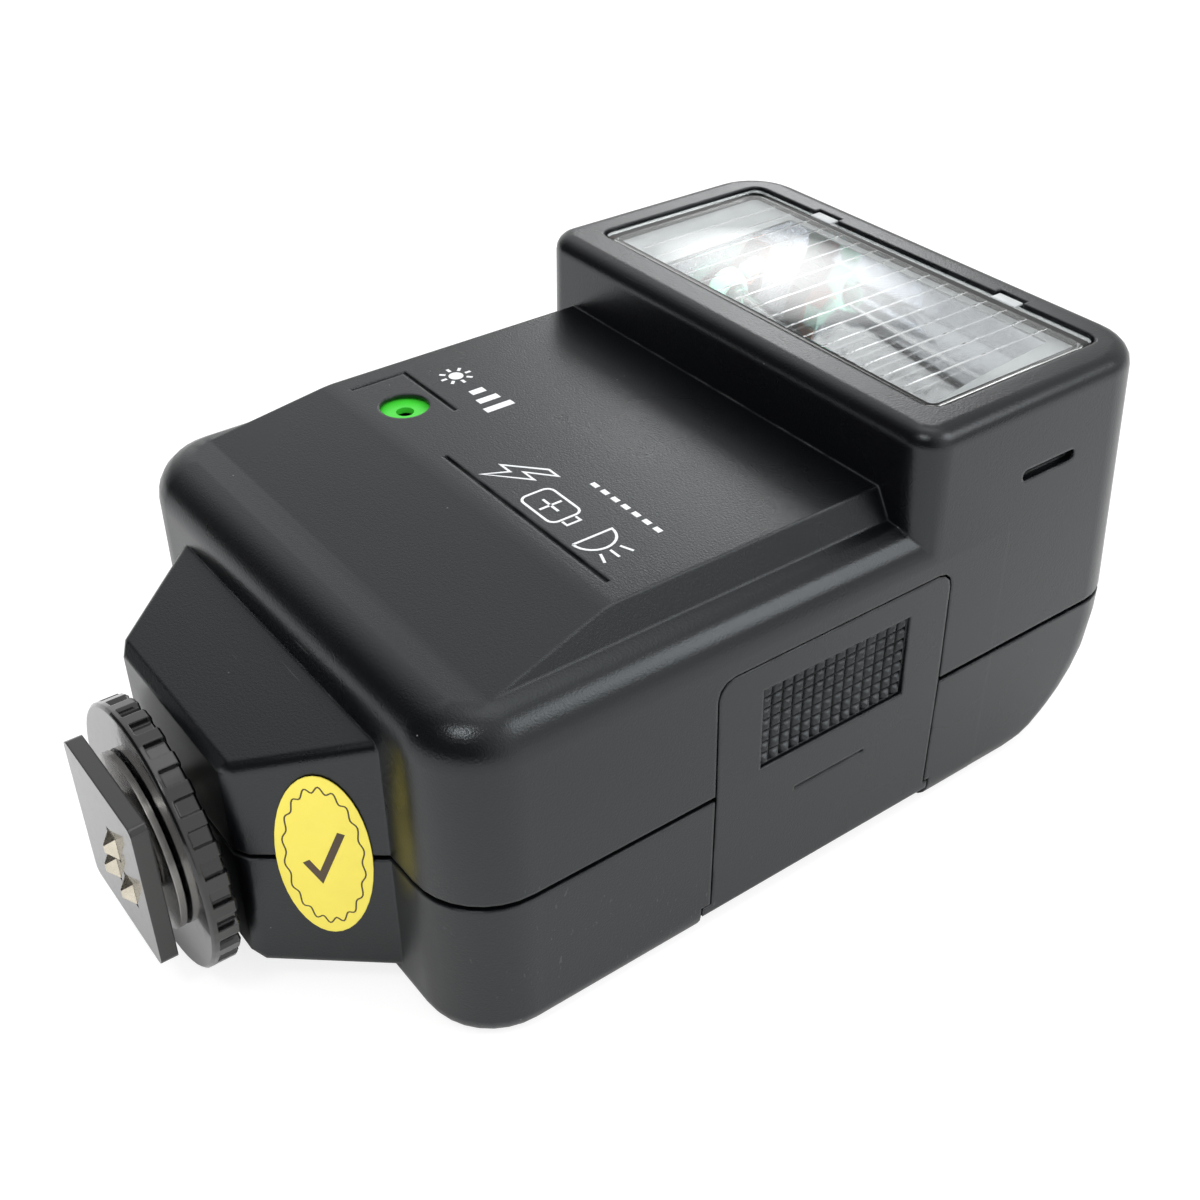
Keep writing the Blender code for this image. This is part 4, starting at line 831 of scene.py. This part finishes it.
# %% [markdown]
# ## Print
# Ink is a film, so each mark is a flat stroke two hundredths of a millimetre proud of
# its surface. A text object would be the quick way to letters, but this flash carries
# only plain signs: a sun, a bolt, a cell, bars and scale lines.

# %% Strokes of ink
INK = 0.04


class Plane:
    """A flat place to print on: where its middle is, and which way it faces."""

    def __init__(self, middle, across, up):
        self.middle = Vector(middle)
        self.across = Vector(across).normalized()
        self.up = Vector(up).normalized()
        self.out = self.across.cross(self.up)

    def point(self, x, y, lift=0.0):
        return self.middle + self.across * x + self.up * y + self.out * lift


def stroke(plane, points, width, closed=False):
    """A line of ink through 2-D points, mitred at its corners."""
    bm = bmesh.new()
    points = [Vector(p) for p in points]
    count = len(points)
    rings = []
    for i, point in enumerate(points):
        runs = []
        if closed or i > 0:
            runs.append((point - points[i - 1]).normalized())
        if closed or i < count - 1:
            runs.append((points[(i + 1) % count] - point).normalized())
        along = sum(runs, Vector((0.0, 0.0))).normalized()
        side = Vector((-along.y, along.x))
        spread = width / 2 / max(side.dot(Vector((-runs[0].y, runs[0].x))), 0.4)
        left, right = point - side * spread, point + side * spread
        ring = ((left, -INK / 2), (right, -INK / 2), (right, INK / 2), (left, INK / 2))
        rings.append([bm.verts.new(plane.point(q.x, q.y, lift)) for q, lift in ring])
    skin(bm, rings, closed)
    return bm


def circle(cx, cy, radius, steps=28):
    return [(cx + radius * math.cos(2 * math.pi * i / steps),
             cy + radius * math.sin(2 * math.pi * i / steps)) for i in range(steps)]


def patch(plane, outline):
    """A filled shape of ink."""
    return prism([plane.point(x, y, -INK / 2) for x, y in outline], plane.out * INK)


print("ink is", INK, "mm thick")

# %% Signs on the front panel
PANEL_OVER_SLIDE = 0.8
SIGN_LINE = -1.7          # height of the sun and the bars on the panel
SUN_X = -21.6
RAYS = 8
LINE_WIDTH = 0.32
slide_high = corners("aperture_slide")[1]
panel = Plane((0, 0, slide_high.z + PANEL_OVER_SLIDE), (1, 0, 0), (0, 1, 0))
sun = [patch(panel, circle(SUN_X, SIGN_LINE, 0.95))]
for i in range(RAYS):
    angle = 2 * math.pi * i / RAYS
    ray = [(SUN_X + r * math.cos(angle), SIGN_LINE + r * math.sin(angle)) for r in (1.35, 2.15)]
    sun.append(stroke(panel, ray, 0.42))
bars = []
for i, reach in enumerate((1.0, 1.5, 2.0)):
    x = -16.6 + 2.4 * i
    bars.append(stroke(panel, [(x, SIGN_LINE - reach), (x, SIGN_LINE + reach)], 1.15))
new_piece("sign_sun", merged(*sun), print_white, "shell")
new_piece("sign_bars", merged(*bars), print_white, "shell")

POWER_LINE = -9.6         # height of the bolt, the cell and the beam
BOLT = [(2.6, 3.3), (-1.6, -0.5), (0.3, -0.5), (-1.2, -3.4), (3.4, 0.7), (1.3, 0.7), (4.4, 3.3)]
CELL_KNOB = [(13.9, -0.9), (14.8, -0.9), (14.8, 0.9), (13.9, 0.9)]
BEAM_X = 18.2
BEAM_RADIUS = 2.6
bolt = [(x + 1.5, y + POWER_LINE + 0.9) for x, y in BOLT]
cell = [(p.x, p.y) for p in round_rectangle(7.2, POWER_LINE - 2.1, 13.6, POWER_LINE + 2.1, 1.0, 5)]
knob = [(x, y + POWER_LINE) for x, y in CELL_KNOB]
plus = [stroke(panel, [(8.9, POWER_LINE), (11.9, POWER_LINE)], 0.34),
        stroke(panel, [(10.4, POWER_LINE - 1.5), (10.4, POWER_LINE + 1.5)], 0.34)]
beam = [(BEAM_X + BEAM_RADIUS * math.cos(a), POWER_LINE + BEAM_RADIUS * math.sin(a))
        for a in [math.radians(-90 + 180 * i / 14) for i in range(15)]]
beam.append((BEAM_X, POWER_LINE - BEAM_RADIUS))
signs = [stroke(panel, bolt, LINE_WIDTH, True), stroke(panel, cell, LINE_WIDTH, True),
         stroke(panel, knob, 0.3), stroke(panel, beam, LINE_WIDTH)]
for i in (-1, 0, 1):
    ray = [(21.4, POWER_LINE + 1.3 * i), (23.0, POWER_LINE + 1.9 * i)]
    signs.append(stroke(panel, ray, LINE_WIDTH))
new_piece("sign_power", merged(*signs, *plus), print_white, "shell")
dashes = [stroke(panel, [(9.4 + 1.9 * i, -3.2), (10.5 + 1.9 * i, -3.2)], 0.7) for i in range(7)]
new_piece("sign_dashes", merged(*dashes), print_white, "shell")
print("panel signs printed")

# %% [markdown]
# ## Sticker
# The oval inspection sticker keeps its shape and colour, with a fine wavy border and a
# tick. Its plane leans with the neck, and the solid's own box says by how much.

# %% Sticker
LABEL_THICK = 0.12
WAVE_STEPS = 144
WAVE_COUNT = 18
WAVE_SWELL = 0.035
label_low, label_high = corners("inspection_sticker")
label_size = label_high - label_low
label_run = Vector((label_size.x - LABEL_THICK, label_size.y - LABEL_THICK, 0)).normalized()
label_out = Vector((label_run.y, -label_run.x, 0))
label = Plane((label_low + label_high) / 2 + label_out * LABEL_THICK / 2, label_run, (0, 0, 1))
half_wide = math.hypot(label_size.x, label_size.y) / 2
waves = []
for i in range(WAVE_STEPS):
    a = 2 * math.pi * i / WAVE_STEPS
    swell = WAVE_SWELL * math.sin(WAVE_COUNT * a)
    waves.append((half_wide * (0.80 + swell) * math.cos(a),
                  label_size.z / 2 * (0.84 + swell) * math.sin(a)))
tick = [(-2.0, -0.6), (-0.6, -3.0), (2.1, 3.4)]
new_piece("label_print", merged(stroke(label, waves, 0.17, True), stroke(label, tick, 0.85)),
          label_brown, "shell")
print("sticker", round(2 * half_wide, 1), "x", round(label_size.z, 1), "mm")

# %% [markdown]
# ## Rear controls
# The rear lies down, but it is finished too: finger ribs on the two slide knobs, signs
# for off and on, and a scale plate with lines for reading distance against aperture.

# %% Rear controls
KNOB_MIDDLE = 6.0         # from the slide's low end to the middle of its knob
RIB_REACH = 1.5
SCALE_MARGIN = 2.0
SCALE_COLUMNS = 8
SCALE_ROWS = 4


def knob_ribs(name, node, body):
    """Three finger ribs across a slide knob."""
    low, high = corners(node)
    middle = (low + high) / 2
    x = low.x + KNOB_MIDDLE
    ribs = []
    for i in (-1, 0, 1):
        rib = block((x + i - 0.2, middle.y - RIB_REACH, low.z - 0.3),
                    (x + i + 0.2, middle.y + RIB_REACH, low.z + 0.3))
        bmesh.ops.bevel(rib, geom=list(rib.edges), offset=0.1, segments=2, profile=0.5, affect='EDGES')
        ribs.append(rib)
    return new_piece(name, merged(*ribs), grey_plastic, body)


knob_ribs("power_ribs", "power_switch", "power_knob")
knob_ribs("mode_ribs", "mode_switch", "mode_slider")
plate_low, plate_high = corners("scale_plate")
plate = Plane(((plate_low.x + plate_high.x) / 2, (plate_low.y + plate_high.y) / 2, plate_low.z),
              (1, 0, 0), (0, -1, 0))
wide = (plate_high.x - plate_low.x) / 2 - SCALE_MARGIN
tall = (plate_high.y - plate_low.y) / 2 - SCALE_MARGIN
lines = [stroke(plate, [(-wide, -tall), (wide, -tall), (wide, tall), (-wide, tall)], 0.25, True)]
for i in range(1, SCALE_COLUMNS):
    x = -wide + 2 * wide * i / SCALE_COLUMNS
    lines.append(stroke(plate, [(x, -tall), (x, tall)], 0.14))
for i in range(1, SCALE_ROWS):
    y = -tall + 2 * tall * i / SCALE_ROWS
    lines.append(stroke(plate, [(-wide, y), (wide, y)], 0.14))
for column in range(SCALE_COLUMNS):
    for row in range(3 if column % 2 else 2):
        x = -wide + 2 * wide * (column + 0.5) / SCALE_COLUMNS
        y = -tall + 2 * tall * (row + 0.5) / SCALE_ROWS
        lines.append(patch(plate, circle(x, y, 0.5 + 0.12 * row, 16)))
new_piece("scale_print", merged(*lines), print_white, "shell")
knob_low, knob_high = corners("power_switch")
rear_middle = (knob_low.x + KNOB_MIDDLE, (knob_low.y + knob_high.y) / 2, 0.0)
rear = Plane(rear_middle, (1, 0, 0), (0, -1, 0))
off_sign = stroke(rear, circle(0, 3.4, 0.7, 20), 0.22, True)
on_sign = stroke(rear, [(3.0, 2.7), (3.0, 4.1)], 0.28)
new_piece("power_signs", merged(off_sign, on_sign), print_white, "shell")
print("rear finished")

# %% [markdown]
# ## The studio
# A flash like this shows best on white, in a tent of soft light. The floor is one
# pale sheet. The camera sees it as white, straight on and through glass, while it lights
# the flash only as strongly as paper would, and it keeps the flash's shadow. The air is
# white too; for reflections it darkens on the side where the viewer stands, and
# it has one soft bright patch low behind the flash, which lights up the window's rim.

# %% Floor
def seen_directly(tree):
    """One where a ray comes from the camera or through glass, and nought elsewhere."""
    light = add_node(tree, "ShaderNodeLightPath")
    node = add_node(tree, "ShaderNodeMath", operation='MAXIMUM')
    tree.links.new(light.outputs["Is Camera Ray"], node.inputs[0])
    tree.links.new(light.outputs["Is Transmission Ray"], node.inputs[1])
    return node.outputs[0]


def white_ground(name, shade, shadow_depth):
    """Paper that looks white, with a soft shadow of the given depth."""
    material, tree, shader, _ = new_material(name, (shade, shade, shade), 0.9)
    matt = add_node(tree, "ShaderNodeBsdfDiffuse")
    matt.inputs["Color"].default_value = (shadow_depth, shadow_depth, shadow_depth, 1.0)
    glow = add_node(tree, "ShaderNodeEmission")
    set_inputs(glow, Color=(1.0, 1.0, 1.0, 1.0), Strength=1.04 - 0.8 * shadow_depth)
    both = add_node(tree, "ShaderNodeAddShader")
    tree.links.new(matt.outputs["BSDF"], both.inputs[0])
    tree.links.new(glow.outputs["Emission"], both.inputs[1])
    pick = add_node(tree, "ShaderNodeMixShader")
    tree.links.new(seen_directly(tree), pick.inputs["Fac"])
    tree.links.new(shader.outputs["BSDF"], pick.inputs[1])
    tree.links.new(both.outputs["Shader"], pick.inputs[2])
    tree.links.new(pick.outputs["Shader"], tree.nodes["Material Output"].inputs["Surface"])
    return material


FLOOR_SIZE = 4.0
FLOOR_GAP = 0.0001
bpy.ops.mesh.primitive_plane_add(size=FLOOR_SIZE, location=(0, 0, -FLOOR_GAP))
floor = bpy.context.object
floor.name = "studio_floor"
floor.data.materials.append(white_ground("paper_white", 0.88, 0.30))
print("floor laid")

# %% Air and lamps
PATCH_AIM = Vector((-0.67, 0.63, 0.39))
PATCH_EDGE = 0.987        # cosine of the angle at which the patch begins
PATCH_STRENGTH = 6.0
MATT_STRENGTH = 1.04      # of the air's light on matt surfaces
TARGET = (0, 0, 0.03)     # every lamp looks here


def tent_air(name):
    """White air; in reflections it fades towards the viewer's side."""
    world = bpy.data.worlds.new(name)
    world.use_nodes = True
    tree = world.node_tree
    back = tree.nodes["Background"]
    set_inputs(back, Color=(1.0, 1.0, 1.0, 1.0))
    light = add_node(tree, "ShaderNodeLightPath")
    direction = add_node(tree, "ShaderNodeTexCoord").outputs["Generated"]
    split = add_node(tree, "ShaderNodeSeparateXYZ")
    tree.links.new(direction, split.inputs[0])
    fade = multiply(tree, ramp(tree, split.outputs["Y"], -0.50, 0.20, 0.03, 1.06),
                    ramp(tree, split.outputs["Y"], 0.30, 0.65, 1.0, 0.58))
    aim = add_node(tree, "ShaderNodeVectorMath", operation='DOT_PRODUCT')
    aim.inputs[1].default_value = PATCH_AIM.normalized()
    tree.links.new(direction, aim.inputs[0])
    bright_patch = add_node(tree, "ShaderNodeMath", operation='ADD')
    tree.links.new(ramp(tree, aim.outputs["Value"], PATCH_EDGE, 1.0, 0.0, PATCH_STRENGTH),
                   bright_patch.inputs[0])
    tree.links.new(fade, bright_patch.inputs[1])
    on_matt = ramp(tree, light.outputs["Is Diffuse Ray"], 0.0, 1.0, 1.0, MATT_STRENGTH)
    not_seen = ramp(tree, light.outputs["Is Camera Ray"], 0.0, 1.0, 1.0, 0.0)
    not_through = ramp(tree, light.outputs["Is Transmission Ray"], 0.0, 1.0, 1.0, 0.0)
    in_gloss = multiply(tree, light.outputs["Is Glossy Ray"], multiply(tree, not_seen, not_through))
    pick = add_node(tree, "ShaderNodeMix", data_type='FLOAT')
    tree.links.new(in_gloss, pick.inputs[0])
    tree.links.new(on_matt, pick.inputs[2])
    tree.links.new(bright_patch.outputs[0], pick.inputs[3])
    tree.links.new(pick.outputs[0], back.inputs["Strength"])
    return world


scene.world = tent_air("studio_air")


def soft_box(name, place, size, power):
    """A square or oblong lamp that looks at the flash."""
    data = bpy.data.lights.new(name, 'AREA')
    data.shape = 'RECTANGLE'
    data.size, data.size_y = size
    data.energy = power
    lamp = bpy.data.objects.new(name, data)
    lamp.location = place
    lamp.rotation_euler = (Vector(TARGET) - Vector(place)).to_track_quat('-Z', 'Y').to_euler()
    scene.collection.objects.link(lamp)


soft_box("far_box", (0.42, 0.36, 0.47), (0.34, 0.30), 1.25)
soft_box("near_top_box", (0.17, -0.31, 0.62), (0.13, 0.13), 0.85)
soft_box("top_box", (-0.10, 0.20, 0.80), (0.4, 0.4), 0.5)
print("studio lit")
